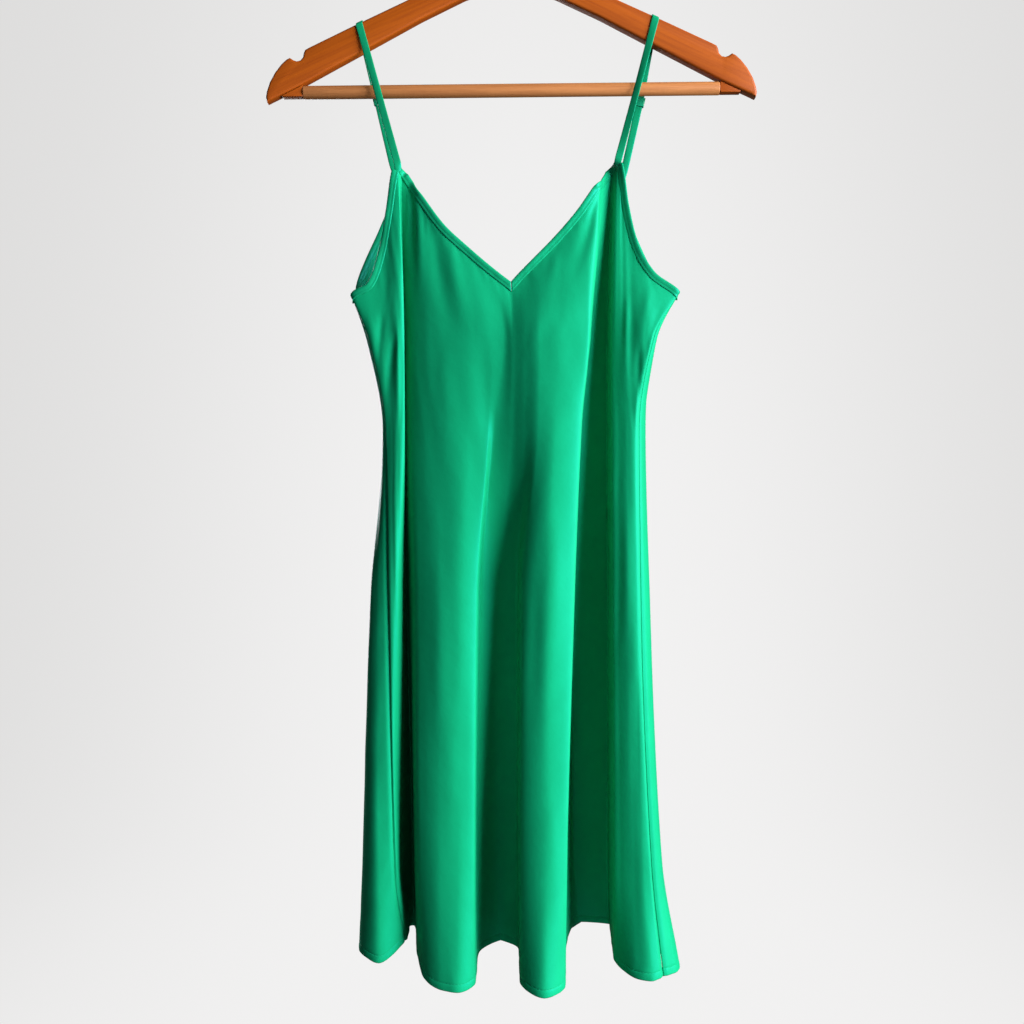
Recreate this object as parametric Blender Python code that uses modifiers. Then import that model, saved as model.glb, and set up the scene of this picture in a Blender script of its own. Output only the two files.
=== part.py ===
"""Slip dress hanging on a wooden trouser-bar hanger.

The origin is the inner top of the hook, where the hanger hangs. +X is the
wearer's left seen from the front, +Z is up and the front faces -Y.
Lengths in the tables are millimetres, and MM turns them into metres.
"""
import math

import bmesh
import bpy
from mathutils import Matrix, Vector

for leftover in list(bpy.data.objects):
    bpy.data.objects.remove(leftover, do_unlink=True)

MM = 0.001

# ---------------------------------------------------------------- sizes
CLOTH = 1.2            # wall of one panel
BINDING = 2.2          # folded binding strip
BINDING_WIDTH = 5.2
NECK_TRIM = 0.35       # taken off a binding where it meets its mate at the V
UNDERARM_TRIM = 0.9    # and under the arm, where the two also turn round the side
SEAM_GAP = 0.3         # between any two pieces
SEAM_TRIM = 0.35       # taken off a panel at its side seams
BINDING_GAP = 0.6      # from a panel to its binding, wider as the edge curves
STRAP = 1.0
STRAP_WIDTH = 6.6
UNDERARM, WAIST, HIP, KNEE = -410, -490, -640, -880
COLUMN_WIDTH = 10.5    # panel grid, along the cloth
PANEL_ROWS = 20

HANGER_TILT = math.radians(-0.6)
ARM_THICKNESS = 12.0
ARM_BEVEL = 2.2
BAR_RADIUS = 6.0
BAR_HALF_LENGTH = 189.6
BAR_HEIGHT = -180.8
BLOCK_THICKNESS = 9.0
BLOCK_BEVEL = 0.4
HOOK_WIRE = 1.75
HOOK_RADIUS = 22.0
FERRULE_RADIUS = 4.5
FERRULE_TOP = -57.5
APEX = -65.5           # top of the arms, where the ferrule stands

RING_WIRE = 0.6
RING_RADIUS = 4.7
SLIDER_HEIGHT = 8.0
SLIDER_BAR = 1.2
LAP = 1.6              # between the long run of strap and the run sewn to the slider
GATHERED = 2.4         # half the strap's width where it is gathered in the ring
LOOP_BEND = 2.1        # radius of the strap's middle round the ring's wire
KINK = 13.0            # above the ring, where the strap starts to gather

# ---------------------------------------------------------------- folds
# One row for each fold line of the cloth, in order round the dress: across
# (+X), depth towards the front (-Y) and height (+Z). "top" is on the panel's
# upper edge and "hem" on its lower edge; the others are at fixed heights.
#
# columns: name, top across, top height, top depth, underarm across and depth,
# waist across and depth, hip across and depth, knee across and depth,
# hem across, hem height, hem depth
FOLDS = (
    ("seam_l", -141, -376, 11, -127.5, 14, -113, 13, -108.8, 22, -101.2, 31.3, -92.5, -949, 19),
    ("side_0", -140, -373, 14, -126, 16.5, -111.5, 14, -107.5, 22.7, -100.5, 31, -92, -949, 16),
    ("side_a", -124, -364, 16.5, -116, 20, -107.5, 16, -105, 23.6, -99.5, 29.3, -91.5, -948, 11),
    ("side_b", -113, -336.5, 16.5, -106, 20.5, -103, 18.3, -102, 23.8, -98.7, 25, -91.2, -947, 1),
    ("side_c", -106, -300, 18, -99, 23.5, -98, 19.5, -99.2, 22, -98.4, 15, -92, -947, -10),
    ("strap_l", -99.5, -259, 19, -94, 21.5, -94, 17, -97.2, 16, -97.8, 3, -92, -949, -20),
    ("slot_l", -97, -262.5, 13, -96, 3, -95.7, 0, -94, -9, -90, -25, -89, -951, -27),
    ("lobe2_a", -91.5, -271, 13, -89, 12.5, -89, 11, -83.5, 22, -82, 32, -81.5, -960, 26),
    ("lobe2_b", -82.5, -284.5, 18.5, -80, 19, -80, 17.5, -77, 26.5, -75, 39, -75, -973, 42),
    ("lobe2_c", -62, -313, 24, -61, 26, -61, 24.5, -60, 34, -60, 45.5, -60, -979, 54),
    ("lobe2_d", -40, -334, 27, -33, 32, -34, 29.5, -43, 37, -44, 47, -44, -980, 58),
    ("lobe2_e", -23, -349, 29, -17, 34, -19, 28.8, -28.5, 33, -30.5, 42, -29.5, -976, 47),
    ("valley2_a", -12, -358, 30, -5, 34, -13, 26.8, -25.8, 13, -28.8, 13, -28, -963, 14),
    ("vee_front", 2, -369, 31, 3, 37, 1, 31, -9, 5, -11, -4, -8, -957, -5),
    ("valley2_b", 13, -357, 31.3, 14, 42, 13, 37, 8, 11, 8, 3, 8.5, -961, 6),
    ("lobe3_a", 27, -343, 32, 27, 46.5, 26, 43.5, 10.5, 33, 9.5, 46, 9.5, -974, 50),
    ("lobe3_b", 45, -324.5, 32, 46, 48, 41, 46, 34, 45, 32, 58, 30, -980, 70),
    ("lobe3_c", 66, -299.7, 32.5, 69, 46.5, 63.5, 40.5, 57.5, 38, 50, 51, 48.5, -977, 53),
    ("valley3_a", 80, -279, 30, 71.5, 37, 63.8, 25, 57.6, 16, 51, 12, 51, -962, 8),
    ("valley3_b", 84, -273, 18, 72, 10, 64.5, 0, 58.5, -9, 61, -34, 66, -951, -37),
    ("valley3_c", 92.5, -260.5, 11, 89, 3, 89.5, -5, 91, -14, 92.5, -32, 94, -952, -33),
    ("strap_r", 97, -253.5, 17, 91.5, 24, 91.7, 21, 92.5, 24, 93.7, 22, 93.5, -964, 20),
    ("side_d", 101.5, -289.5, 20, 98, 28, 98, 25, 98, 28, 100, 27, 101, -970, 34),
    ("side_e", 110, -328, 24, 107, 31, 105, 28.5, 106, 32, 110, 32, 112, -973, 45),
    ("side_f", 125, -356, 29, 119, 36, 111, 29.7, 112.5, 33, 119, 35, 124, -973.5, 49),
    ("side_g", 147.5, -373.5, 30.5, 126, 37, 115, 27.5, 116.5, 31, 124.5, 34.5, 131.5, -972.5, 46),
    ("seam_r", 149, -376, 27, 129.5, 33, 117, 25, 118, 29, 127, 32.5, 136, -972, 42),
    ("back_0", 147.5, -373, 21, 131.5, 27, 119.5, 19, 122, 24, 131.5, 29, 143, -972, 37),
    ("back_a", 141, -366, 0, 132, 10, 122.5, 8, 126, 12, 135, 24, 149, -972, 31),
    ("back_b", 129.5, -349, -15, 127.5, -12, 125, -10, 128.5, -8, 138, 8, 153, -972, 15),
    ("back_c", 112.5, -312, -20, 119, -25, 121, -25, 127, -28, 136, -28, 148, -961, -28),
    ("tip_r", 101, -281, -21, 104, -35, 106, -39, 110, -48, 118, -66, 121, -964, -74),
    ("lobe5", 83, -295, -23, 85, -34, 85, -37, 86, -50, 88, -77, 89, -964, -90),
    ("valley5", 43, -329, -28, 41, -36, 37, -31, 33, -20, 31, -12, 31, -961, -8),
    ("vee_back", 2, -363, -31, 3, -38, 3, -39, 2, -50, -1, -73, -1, -962, -84),
    ("valley6", -39, -329, -28, -41, -36, -44, -31, -50, -20, -53, -11, -54, -960, -6),
    ("lobe7", -79, -297, -24, -80, -35, -82, -38, -85, -48, -90, -69, -91, -956, -80),
    ("tip_l", -103, -279, -21, -102, -34, -101, -38, -104, -46, -113, -60, -115, -954, -66),
    ("back_d", -118.5, -313, -19, -116, -25, -112, -27, -117, -28, -127, -32, -131, -959, -36),
    ("back_e", -130, -340, -14, -124.5, -14, -114.5, -14, -126, -4, -133, -7, -136.5, -961, -4),
    ("back_f", -137.5, -361.5, -7, -127.5, -4, -115, -4, -125, 10, -131.5, 18, -133, -957, 24),
    ("back_g", -140, -372, 3, -129, 6, -114.7, 5, -119, 17, -116, 33.5, -115, -962, 38),
)
NAMES = [fold[0] for fold in FOLDS]
CORNERS = ("strap_l", "vee_front", "strap_r", "tip_r", "vee_back", "tip_l")
COUNT = len(FOLDS)


# ---------------------------------------------------------------- curves
def slopes(knots, values):
    """Slopes of a cubic through the knots that never swings past them."""
    steps = [knots[i + 1] - knots[i] for i in range(len(knots) - 1)]
    rises = [(values[i + 1] - values[i]) / steps[i] for i in range(len(steps))]
    result = [rises[0]]
    for i in range(1, len(steps)):
        before, after = rises[i - 1], rises[i]
        if before * after <= 0:
            result.append(0.0)
        else:
            near = 2 * steps[i] + steps[i - 1]
            far = steps[i] + 2 * steps[i - 1]
            result.append((near + far) / (near / before + far / after))
    return result + [rises[-1]]


def hermite(start, end, slope_start, slope_end, length, part):
    """Point of the cubic between two knots, part being 0 to 1."""
    square, cube = part * part, part ** 3
    return ((2 * cube - 3 * square + 1) * start + (cube - 2 * square + part) * length * slope_start
            + (3 * square - 2 * cube) * end + (cube - square) * length * slope_end)


def eased(knots, values, at):
    """Value of the smooth cubic through the knots, which run upwards."""
    at = min(max(at, knots[0]), knots[-1])
    i = min(sum(1 for knot in knots if knot <= at), len(knots) - 1) - 1
    grade = slopes(knots, values)
    length = knots[i + 1] - knots[i]
    part = (at - knots[i]) / length
    return hermite(values[i], values[i + 1], grade[i], grade[i + 1], length, part)


def on_fold(fold, drop):
    """(across, depth, height) on one fold line; drop is 0 at its top, 1 at the hem."""
    x_top, z_top, d_top = fold[1:4]
    x_arm, d_arm, x_waist, d_waist, x_hip, d_hip, x_knee, d_knee = fold[4:12]
    x_hem, z_hem, d_hem = fold[12:]
    height = z_top + (z_hem - z_top) * drop
    knots = (z_hem, KNEE, HIP, WAIST, UNDERARM, z_top)
    across = eased(knots, (x_hem, x_knee, x_hip, x_waist, x_arm, x_top), height)
    depth = eased(knots, (d_hem, d_knee, d_hip, d_waist, d_arm, d_top), height)
    return across, depth, height


def ring_slopes(knots, values, corners=()):
    """Slopes before and after each knot of a closed ring; corners stay sharp."""
    turn = knots[-1]
    wide_knots = [knots[-2] - turn] + list(knots) + [knots[1] + turn]
    wide = [values[-2]] + list(values) + [values[1]]
    grade = slopes(wide_knots, wide)[1:-1]
    before, after = list(grade), list(grade)
    for i in corners:
        before[i] = (values[i] - values[i - 1]) / (knots[i] - knots[i - 1])
        after[i] = (values[i + 1] - values[i]) / (knots[i + 1] - knots[i])
    return before, after


class Ring:
    """The closed line of cloth round the dress at one drop below the top edge."""

    def __init__(self, drop):
        points = [on_fold(fold, drop) for fold in FOLDS]
        points.append(points[0])
        knots = [0.0]
        for i in range(COUNT):
            knots.append(knots[-1] + math.dist(points[i], points[i + 1]))
        self.knots = knots
        self.values = list(zip(*points))
        sharp = [NAMES.index(name) for name in CORNERS]
        self.grades = [ring_slopes(knots, self.values[0]),
                       ring_slopes(knots, self.values[1]),
                       ring_slopes(knots, self.values[2], sharp)]

    def at(self, place):
        """World point; place counts folds, so 4.5 is halfway from fold 4 to fold 5."""
        i = min(int(place), COUNT - 1)
        length = self.knots[i + 1] - self.knots[i]
        across, depth, height = (
            hermite(value[i], value[i + 1], grade[1][i], grade[0][i + 1], length, place - i)
            for value, grade in zip(self.values, self.grades))
        return Vector((across, -depth, height)) * MM

    def length(self, place_from, place_to):
        """Length of cloth between two places on this ring, in millimetres."""
        marks = 12
        points = [self.at(place_from + (place_to - place_from) * k / marks) for k in range(marks + 1)]
        return sum((points[k + 1] - points[k]).length for k in range(marks)) / MM


RINGS = {}


def ring(drop):
    if drop not in RINGS:
        RINGS[drop] = Ring(drop)
    return RINGS[drop]


# ---------------------------------------------------------------- making objects
collection = bpy.data.collections.new("slip_dress_on_hanger")
bpy.context.scene.collection.children.link(collection)


def material(name, colour, roughness, metallic=0.0):
    made = bpy.data.materials.new(name)
    made.use_nodes = True
    shader = made.node_tree.nodes["Principled BSDF"]
    shader.inputs["Base Color"].default_value = (*colour, 1.0)
    shader.inputs["Roughness"].default_value = roughness
    shader.inputs["Metallic"].default_value = metallic
    return made


SATIN = material("green_satin", (0.006, 0.42, 0.20), 0.38)
BIND = material("green_binding", (0.008, 0.46, 0.23), 0.42)
LACQUER = material("lacquered_wood", (0.42, 0.13, 0.02), 0.3)
RAW_WOOD = material("pale_wood", (0.62, 0.36, 0.17), 0.5)
STEEL = material("plated_steel", (0.75, 0.75, 0.76), 0.22, 1.0)
PLASTIC = material("green_enamel", (0.01, 0.33, 0.17), 0.4)


def add(name, data, finish):
    made = bpy.data.objects.new(name, data)
    data.materials.append(finish)
    collection.objects.link(made)
    return made


def sheet(name, columns, rows, place, thickness, finish):
    """A wall of cloth: place(across 0 to 1, drop 0 to 1) is its middle surface."""
    form = bmesh.new()
    bmesh.ops.create_grid(form, x_segments=columns, y_segments=rows, size=1.0)
    for corner in form.verts:
        corner.co = place(0.5 + 0.5 * corner.co.x, 0.5 - 0.5 * corner.co.y)
    mesh = bpy.data.meshes.new(name)
    form.to_mesh(mesh)
    form.free()
    mesh.shade_smooth()
    made = add(name, mesh, finish)
    wall = made.modifiers.new("wall", "SOLIDIFY")
    wall.thickness = thickness * MM
    wall.offset = 0.0
    return made


# ---------------------------------------------------------------- front and back panels
def column_places(first, last):
    """Places of the columns, about COLUMN_WIDTH apart, with one on every fold."""
    places = []
    for fold in range(first, last):
        at = fold % COUNT
        steps = max(1, round(ring(0.75).length(at, at + 1) / COLUMN_WIDTH),
                    round(ring(0.0).length(at, at + 1) / COLUMN_WIDTH))
        places += [at + k / steps for k in range(steps)]
    return places + [float((last - 1) % COUNT + 1)]


def panel(name, first, last):
    places = column_places(first, last)
    columns = len(places) - 1

    def place(across, drop):
        i = round(across * columns)
        line = ring(round(drop, 6))
        point = line.at(places[i])
        if i in (0, columns):
            inward = line.at(places[1 if i == 0 else columns - 1]) - point
            point = point + inward.normalized() * SEAM_TRIM * MM
        return point

    return sheet(name, columns, PANEL_ROWS, place, CLOTH, SATIN)


SEAM_L, STRAP_L, VEE_FRONT, STRAP_R = (NAMES.index(n) for n in ("seam_l", "strap_l", "vee_front", "strap_r"))
SEAM_R, TIP_R, VEE_BACK, TIP_L = (NAMES.index(n) for n in ("seam_r", "tip_r", "vee_back", "tip_l"))
panel("front_panel", SEAM_L, SEAM_R)
panel("back_panel", SEAM_R, COUNT)


# ---------------------------------------------------------------- bindings
class Edge:
    """A stretch of the panels' top edge, followed by its length in millimetres."""

    def __init__(self, first, last):
        self.points = [ring(0.0).at(place) for place in column_places(first, last)]
        self.lengths = [0.0]
        for k in range(1, len(self.points)):
            self.lengths.append(self.lengths[-1] + (self.points[k] - self.points[k - 1]).length / MM)
        self.total = self.lengths[-1]

    def at(self, length):
        length = min(max(length, 0.0), self.total)
        k = 1
        while k < len(self.lengths) - 1 and self.lengths[k] < length:
            k += 1
        span = self.lengths[k] - self.lengths[k - 1]
        return self.points[k - 1].lerp(self.points[k], (length - self.lengths[k - 1]) / span)

    def outward(self, length):
        """Unit vector in the cloth, square to the edge and away from the panel."""
        near, far = 1.0, 2.5
        along = (self.at(length + near) - self.at(length - near)).normalized()
        level = self.at(length + far) - self.at(length - far)
        normal = Vector((level.y, -level.x, 0.0)).normalized()
        return normal.cross(along).normalized()


def mitre(edge, at_start, mate, mate_at_start):
    """Direction in which two bindings meet at a corner, and its slant to this one's width."""
    own = edge.outward(0.0 if at_start else edge.total)
    other = mate.outward(0.0 if mate_at_start else mate.total)
    shared = (own + other).normalized()
    return shared, own.angle(shared)


def binding(name, edge, start_mate=None, end_mate=None, trim=NECK_TRIM):
    """Strip of folded cloth along the top edge, mitred where it meets a mate."""
    columns = len(edge.points) - 1
    width = BINDING_GAP + BINDING_WIDTH
    start, start_slant = mitre(edge, True, start_mate, False) if start_mate else (edge.outward(0.0), 0.0)
    end, end_slant = mitre(edge, False, end_mate, True) if end_mate else (edge.outward(edge.total), 0.0)
    start_loss, end_loss = width * math.tan(start_slant), width * math.tan(end_slant)

    def place(across, drop):
        share = 1.0 - drop
        k = round(across * columns)
        out = (BINDING_GAP + share * BINDING_WIDTH) * MM
        usable = edge.total - (start_loss + end_loss) * share
        length = start_loss * share + usable * edge.lengths[k] / edge.total
        if k == 0:
            along = (edge.at(2.0) - edge.at(0.0)).normalized()
            return edge.at(0.0) + start * out / math.cos(start_slant) + along * trim * MM
        if k == columns:
            along = (edge.at(edge.total - 2.0) - edge.at(edge.total)).normalized()
            return edge.at(edge.total) + end * out / math.cos(end_slant) + along * trim * MM
        return edge.at(length) + edge.outward(length) * out

    return sheet(name, columns, 1, place, BINDING, BIND)


front_neck_left, front_neck_right = Edge(STRAP_L, VEE_FRONT), Edge(VEE_FRONT, STRAP_R)
back_neck_right, back_neck_left = Edge(TIP_R, VEE_BACK), Edge(VEE_BACK, TIP_L)
front_arm_left, front_arm_right = Edge(SEAM_L, STRAP_L), Edge(STRAP_R, SEAM_R)
back_arm_right, back_arm_left = Edge(SEAM_R, TIP_R), Edge(TIP_L, COUNT)
binding("front_neck_binding_left", front_neck_left, end_mate=front_neck_right)
binding("front_neck_binding_right", front_neck_right, start_mate=front_neck_left)
binding("back_neck_binding_right", back_neck_right, end_mate=back_neck_left)
binding("back_neck_binding_left", back_neck_left, start_mate=back_neck_right)
binding("front_armhole_binding_left", front_arm_left, start_mate=back_arm_left, trim=UNDERARM_TRIM)
binding("back_armhole_binding_left", back_arm_left, end_mate=front_arm_left, trim=UNDERARM_TRIM)
binding("front_armhole_binding_right", front_arm_right, end_mate=back_arm_right, trim=UNDERARM_TRIM)
binding("back_armhole_binding_right", back_arm_right, start_mate=front_arm_right, trim=UNDERARM_TRIM)


# ---------------------------------------------------------------- hanger
hanger = bpy.data.objects.new("hanger_tilt", None)
collection.objects.link(hanger)
hanger.rotation_euler = (0.0, HANGER_TILT, 0.0)
TILT = Matrix.Rotation(HANGER_TILT, 4, "Y")

# Outline of one arm, out from the middle along the top, round the shoulder
# notch and the tip, and back along the underside (across, height)
ARM_OUTLINE = (
    (0.15, -65.5), (16, -67.0), (31, -71.2), (46, -77.3), (88, -96.6), (144, -122.6), (183, -141.2),
    (187, -143.4), (188.3, -146.4), (189.0, -150.2), (191.4, -152.9), (194.6, -153.6), (197.6, -152.6),
    (200.8, -150.4), (204, -152.0), (208.6, -156.2), (214.4, -163.6), (219.4, -172.6), (222.2, -181.0),
    (223, -186.0), (222.0, -190.4), (217.8, -188.3), (210, -184.6), (190.9, -175.4), (136, -146.0),
    (81, -116.4), (42, -97.6), (26, -91.4), (12, -88.2), (0.15, -87.3),
)
# Block let in under the arm's end, which the bar turns against
BLOCK_OUTLINE = ((189.9, -175.4), (208.6, -184.5), (207.8, -185.4), (189.9, -185.4))
ARM_TOP = ((46, -77.3), (88, -96.6), (144, -122.6), (186, -142.6))


def board(name, side, outline, thickness, bevel):
    """A flat piece of wood sawn to an outline, on one side of the hanger."""
    curve = bpy.data.curves.new(name, "CURVE")
    curve.dimensions = "2D"
    curve.fill_mode = "BOTH"
    curve.extrude = 0.5 * thickness * MM
    line = curve.splines.new("POLY")
    line.points.add(len(outline) - 1)
    for point, (across, height) in zip(line.points, outline):
        point.co = (side * across * MM, height * MM, 0.0, 1.0)
    line.use_cyclic_u = True
    made = add(name, curve, LACQUER)
    made.rotation_euler = (math.pi / 2, 0.0, 0.0)
    made.parent = hanger
    weld = made.modifiers.new("weld", "WELD")
    weld.merge_threshold = 0.00001
    rounding = made.modifiers.new("rounding", "BEVEL")
    rounding.width = bevel * MM
    rounding.segments = 3
    rounding.limit_method = "ANGLE"
    rounding.angle_limit = math.radians(60)
    return made


for side, word in ((-1, "left"), (1, "right")):
    board("hanger_arm_" + word, side, ARM_OUTLINE, ARM_THICKNESS, ARM_BEVEL)
    board("bar_block_" + word, side, BLOCK_OUTLINE, BLOCK_THICKNESS, BLOCK_BEVEL)


def rod(name, start, end, radius, sides, finish):
    """A round rod between two points of the hanger, in millimetres."""
    start, end = Vector(start) * MM, Vector(end) * MM
    form = bmesh.new()
    place = Matrix.Translation((start + end) / 2) @ (end - start).to_track_quat("Z", "Y").to_matrix().to_4x4()
    bmesh.ops.create_cone(form, cap_ends=True, segments=sides, radius1=radius * MM, radius2=radius * MM,
                          depth=(end - start).length, matrix=place)
    mesh = bpy.data.meshes.new(name)
    form.to_mesh(mesh)
    form.free()
    mesh.shade_smooth()
    mesh.set_sharp_from_angle(angle=math.radians(40))
    made = add(name, mesh, finish)
    made.parent = hanger
    return made


bar_end = (BAR_HALF_LENGTH, 0, BAR_HEIGHT)
rod("trouser_bar", (-BAR_HALF_LENGTH, 0, BAR_HEIGHT), bar_end, BAR_RADIUS, 24, RAW_WOOD)
rod("hook_ferrule", (0, 0, APEX + SEAM_GAP), (0, 0, FERRULE_TOP), FERRULE_RADIUS, 20, STEEL)


def hook_points():
    """Stem, sweep to the right, then three quarters of a turn round the inner top."""
    radius = HOOK_RADIUS + HOOK_WIRE
    centre = -HOOK_RADIUS
    points = [(0.0, FERRULE_TOP + SEAM_GAP), (0.0, FERRULE_TOP + 5.0)]
    turns = 18
    for k in range(turns + 1):
        angle = math.radians(-48 + 243 * k / turns)
        points.append((radius * math.cos(angle), centre + radius * math.sin(angle)))
    points[2:2] = [(1.6, FERRULE_TOP + 9.0), (7.0, FERRULE_TOP + 13.8)]
    return points


def wire(name, points, radius, finish):
    curve = bpy.data.curves.new(name, "CURVE")
    curve.dimensions = "3D"
    curve.bevel_depth = radius * MM
    curve.bevel_resolution = 2
    curve.use_fill_caps = True
    line = curve.splines.new("POLY")
    line.points.add(len(points) - 1)
    for point, (across, height) in zip(line.points, points):
        point.co = (across * MM, 0.0, height * MM, 1.0)
    made = add(name, curve, finish)
    made.parent = hanger
    return made


wire("hook", hook_points(), HOOK_WIRE, STEEL)


# ---------------------------------------------------------------- straps, rings and sliders
def arm_top(across):
    """Height of the arm's top edge at a distance from the middle, before the tilt."""
    distance = abs(across)
    for (x_in, z_in), (x_out, z_out) in zip(ARM_TOP, ARM_TOP[1:]):
        if distance <= x_out:
            return z_in + (z_out - z_in) * (distance - x_in) / (x_out - x_in)
    return z_out


# side is +1 for the right. crossing is the distance from the middle at which
# the strap goes over the arm; slider_at and ring_at are (across, height, depth).
STRAPS = {
    "left": {"side": -1, "crossing": 137.3,
             "slider_at": (-121.5, -185, -14.5), "ring_at": (-105, -256.5, -22)},
    "right": {"side": 1, "crossing": 131.4,
              "slider_at": (120.6, -186.5, -14.5), "ring_at": (103.7, -262.5, -23)},
}
BACK = Vector((0.0, 1.0, 0.0))
JOINT_GAP = 0.4        # above the ends of the bindings
JOINT_REACH = BINDING_WIDTH - 0.4
STRAP_FOOT = 6.5       # from the joint to where the strap has its own width
RUN_STEP = 10.0        # between the rows of the doubled run
TAB_FOOT = 4.0
TAB_TAIL = 6.0         # of the ring tab, sewn down inside the ring


def ribbon(name, rows, thickness, finish):
    """A flat strip through rows of three points: left edge, middle and right edge."""
    last = len(rows) - 1

    def place(across, drop):
        return rows[round(drop * last)][round(across * 2)] * MM

    return sheet(name, 2, last, place, thickness, finish)


def cross_row(point, along, half):
    """A row square to a strip that runs along, its lower X end first."""
    across = Vector((-along.z, 0.0, along.x)).normalized() * half
    if across.x < 0:
        across.negate()
    return [point - across, point, point + across]


def stretch(points, halves, step):
    """Rows of a strip along a line through the points, with its half widths there."""
    knots = [0.0]
    for before, after in zip(points, points[1:]):
        knots.append(knots[-1] + (after - before).length)
    count = max(1, round(knots[-1] / step))
    values = [[point[axis] for point in points] for axis in range(3)]
    rows = []
    for k in range(count + 1):
        at = knots[-1] * k / count
        point, ahead, behind = (Vector([eased(knots, value, place) for value in values])
                                for place in (at, at + 1.0, at - 1.0))
        rows.append(cross_row(point, ahead - behind, eased(knots, halves, at)))
    return rows


def doubled_back(rows):
    """The run in front of these rows, from the ring back up to the slider."""
    made = []
    for k, row in enumerate(reversed(rows)):
        spread = max(0.0, 1.0 - k * RUN_STEP / KINK) * (2 * LOOP_BEND - LAP)
        made.append([point - BACK * (LAP + spread) for point in row])
    return made


def joint_row(edge_arm, arm_at, edge_neck, neck_at):
    """Lower end of a strap or tab, just above the ends of two bindings."""
    middle = edge_arm.at(arm_at) / MM
    to_arm, to_neck = edge_arm.outward(arm_at), edge_neck.outward(neck_at)
    lift = (to_arm + to_neck).normalized() * JOINT_GAP
    row = [middle + to_arm * JOINT_REACH + lift, middle + lift * 1.25, middle + to_neck * JOINT_REACH + lift]
    return row if row[0].x < row[2].x else row[::-1]


def half_turn(centre, up):
    """Rows of a gathered strip bent round the ring's wire, from back to front."""
    steps = 6
    rows = []
    for k in range(1, steps):
        angle = math.pi * k / steps
        point = centre + BACK * LOOP_BEND * math.cos(angle) + up * LOOP_BEND * math.sin(angle)
        rows.append(cross_row(point, up, GATHERED))
    return rows


def strap_over_arm(side, crossing):
    """Rows from the front of the arm, over it and down its back."""
    tilted = TILT @ Vector((side * crossing, 0.0, arm_top(crossing)))
    lift = SEAM_GAP + 0.5 * STRAP + 0.1
    bend = ARM_BEVEL + lift
    flat = 0.5 * ARM_THICKNESS - ARM_BEVEL
    (x_in, z_in), (x_out, z_out) = ARM_TOP[1:3]
    slope = Vector((x_out - x_in, 0.0, side * (z_out - z_in))).normalized() * 0.5 * STRAP_WIDTH
    corner_steps = 4
    rows = []
    for sense in (-1, 1):
        for k in range(corner_steps + 1):
            angle = 0.5 * math.pi * (k if sense < 0 else corner_steps - k) / corner_steps
            point = Vector((tilted.x, sense * (flat + bend * math.cos(angle)),
                            tilted.z + lift - bend + bend * math.sin(angle)))
            rows.append([point - slope, point, point + slope])
    return rows


def strap_ring(name, centre):
    """The small metal ring, flat against the back."""
    bpy.ops.mesh.primitive_torus_add(major_radius=RING_RADIUS * MM, minor_radius=RING_WIRE * MM,
                                     major_segments=24, minor_segments=8)
    made = bpy.context.object
    made.name = name
    made.location = centre * MM
    made.rotation_euler = (math.pi / 2, 0.0, 0.0)
    made.data.materials.append(STEEL)
    made.data.shade_smooth()
    for holder in list(made.users_collection):
        holder.objects.unlink(made)
    collection.objects.link(made)


def slider_frame(name, centre, along):
    """The slider, a flat loop that both runs of strap pass through."""
    frame = bmesh.new()
    turn = Matrix((along.cross(BACK), BACK, -along)).transposed().to_4x4()
    bmesh.ops.create_cone(frame, cap_ends=False, segments=4, radius1=math.sqrt(0.5), radius2=math.sqrt(0.5),
                          depth=SLIDER_HEIGHT * MM, matrix=Matrix.Rotation(math.pi / 4, 4, "Z"))
    opening = Vector((STRAP_WIDTH + 1.0 + SLIDER_BAR, LAP + STRAP + 1.0 + SLIDER_BAR, 1.0))
    bmesh.ops.scale(frame, verts=frame.verts, vec=(opening.x * MM, opening.y * MM, 1.0))
    bmesh.ops.transform(frame, verts=frame.verts, matrix=Matrix.Translation(centre * MM) @ turn)
    mesh = bpy.data.meshes.new(name)
    frame.to_mesh(mesh)
    frame.free()
    made = add(name, mesh, PLASTIC)
    wall = made.modifiers.new("wall", "SOLIDIFY")
    wall.thickness = SLIDER_BAR * MM
    wall.offset = 0.0
    wall.use_even_offset = True


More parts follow.
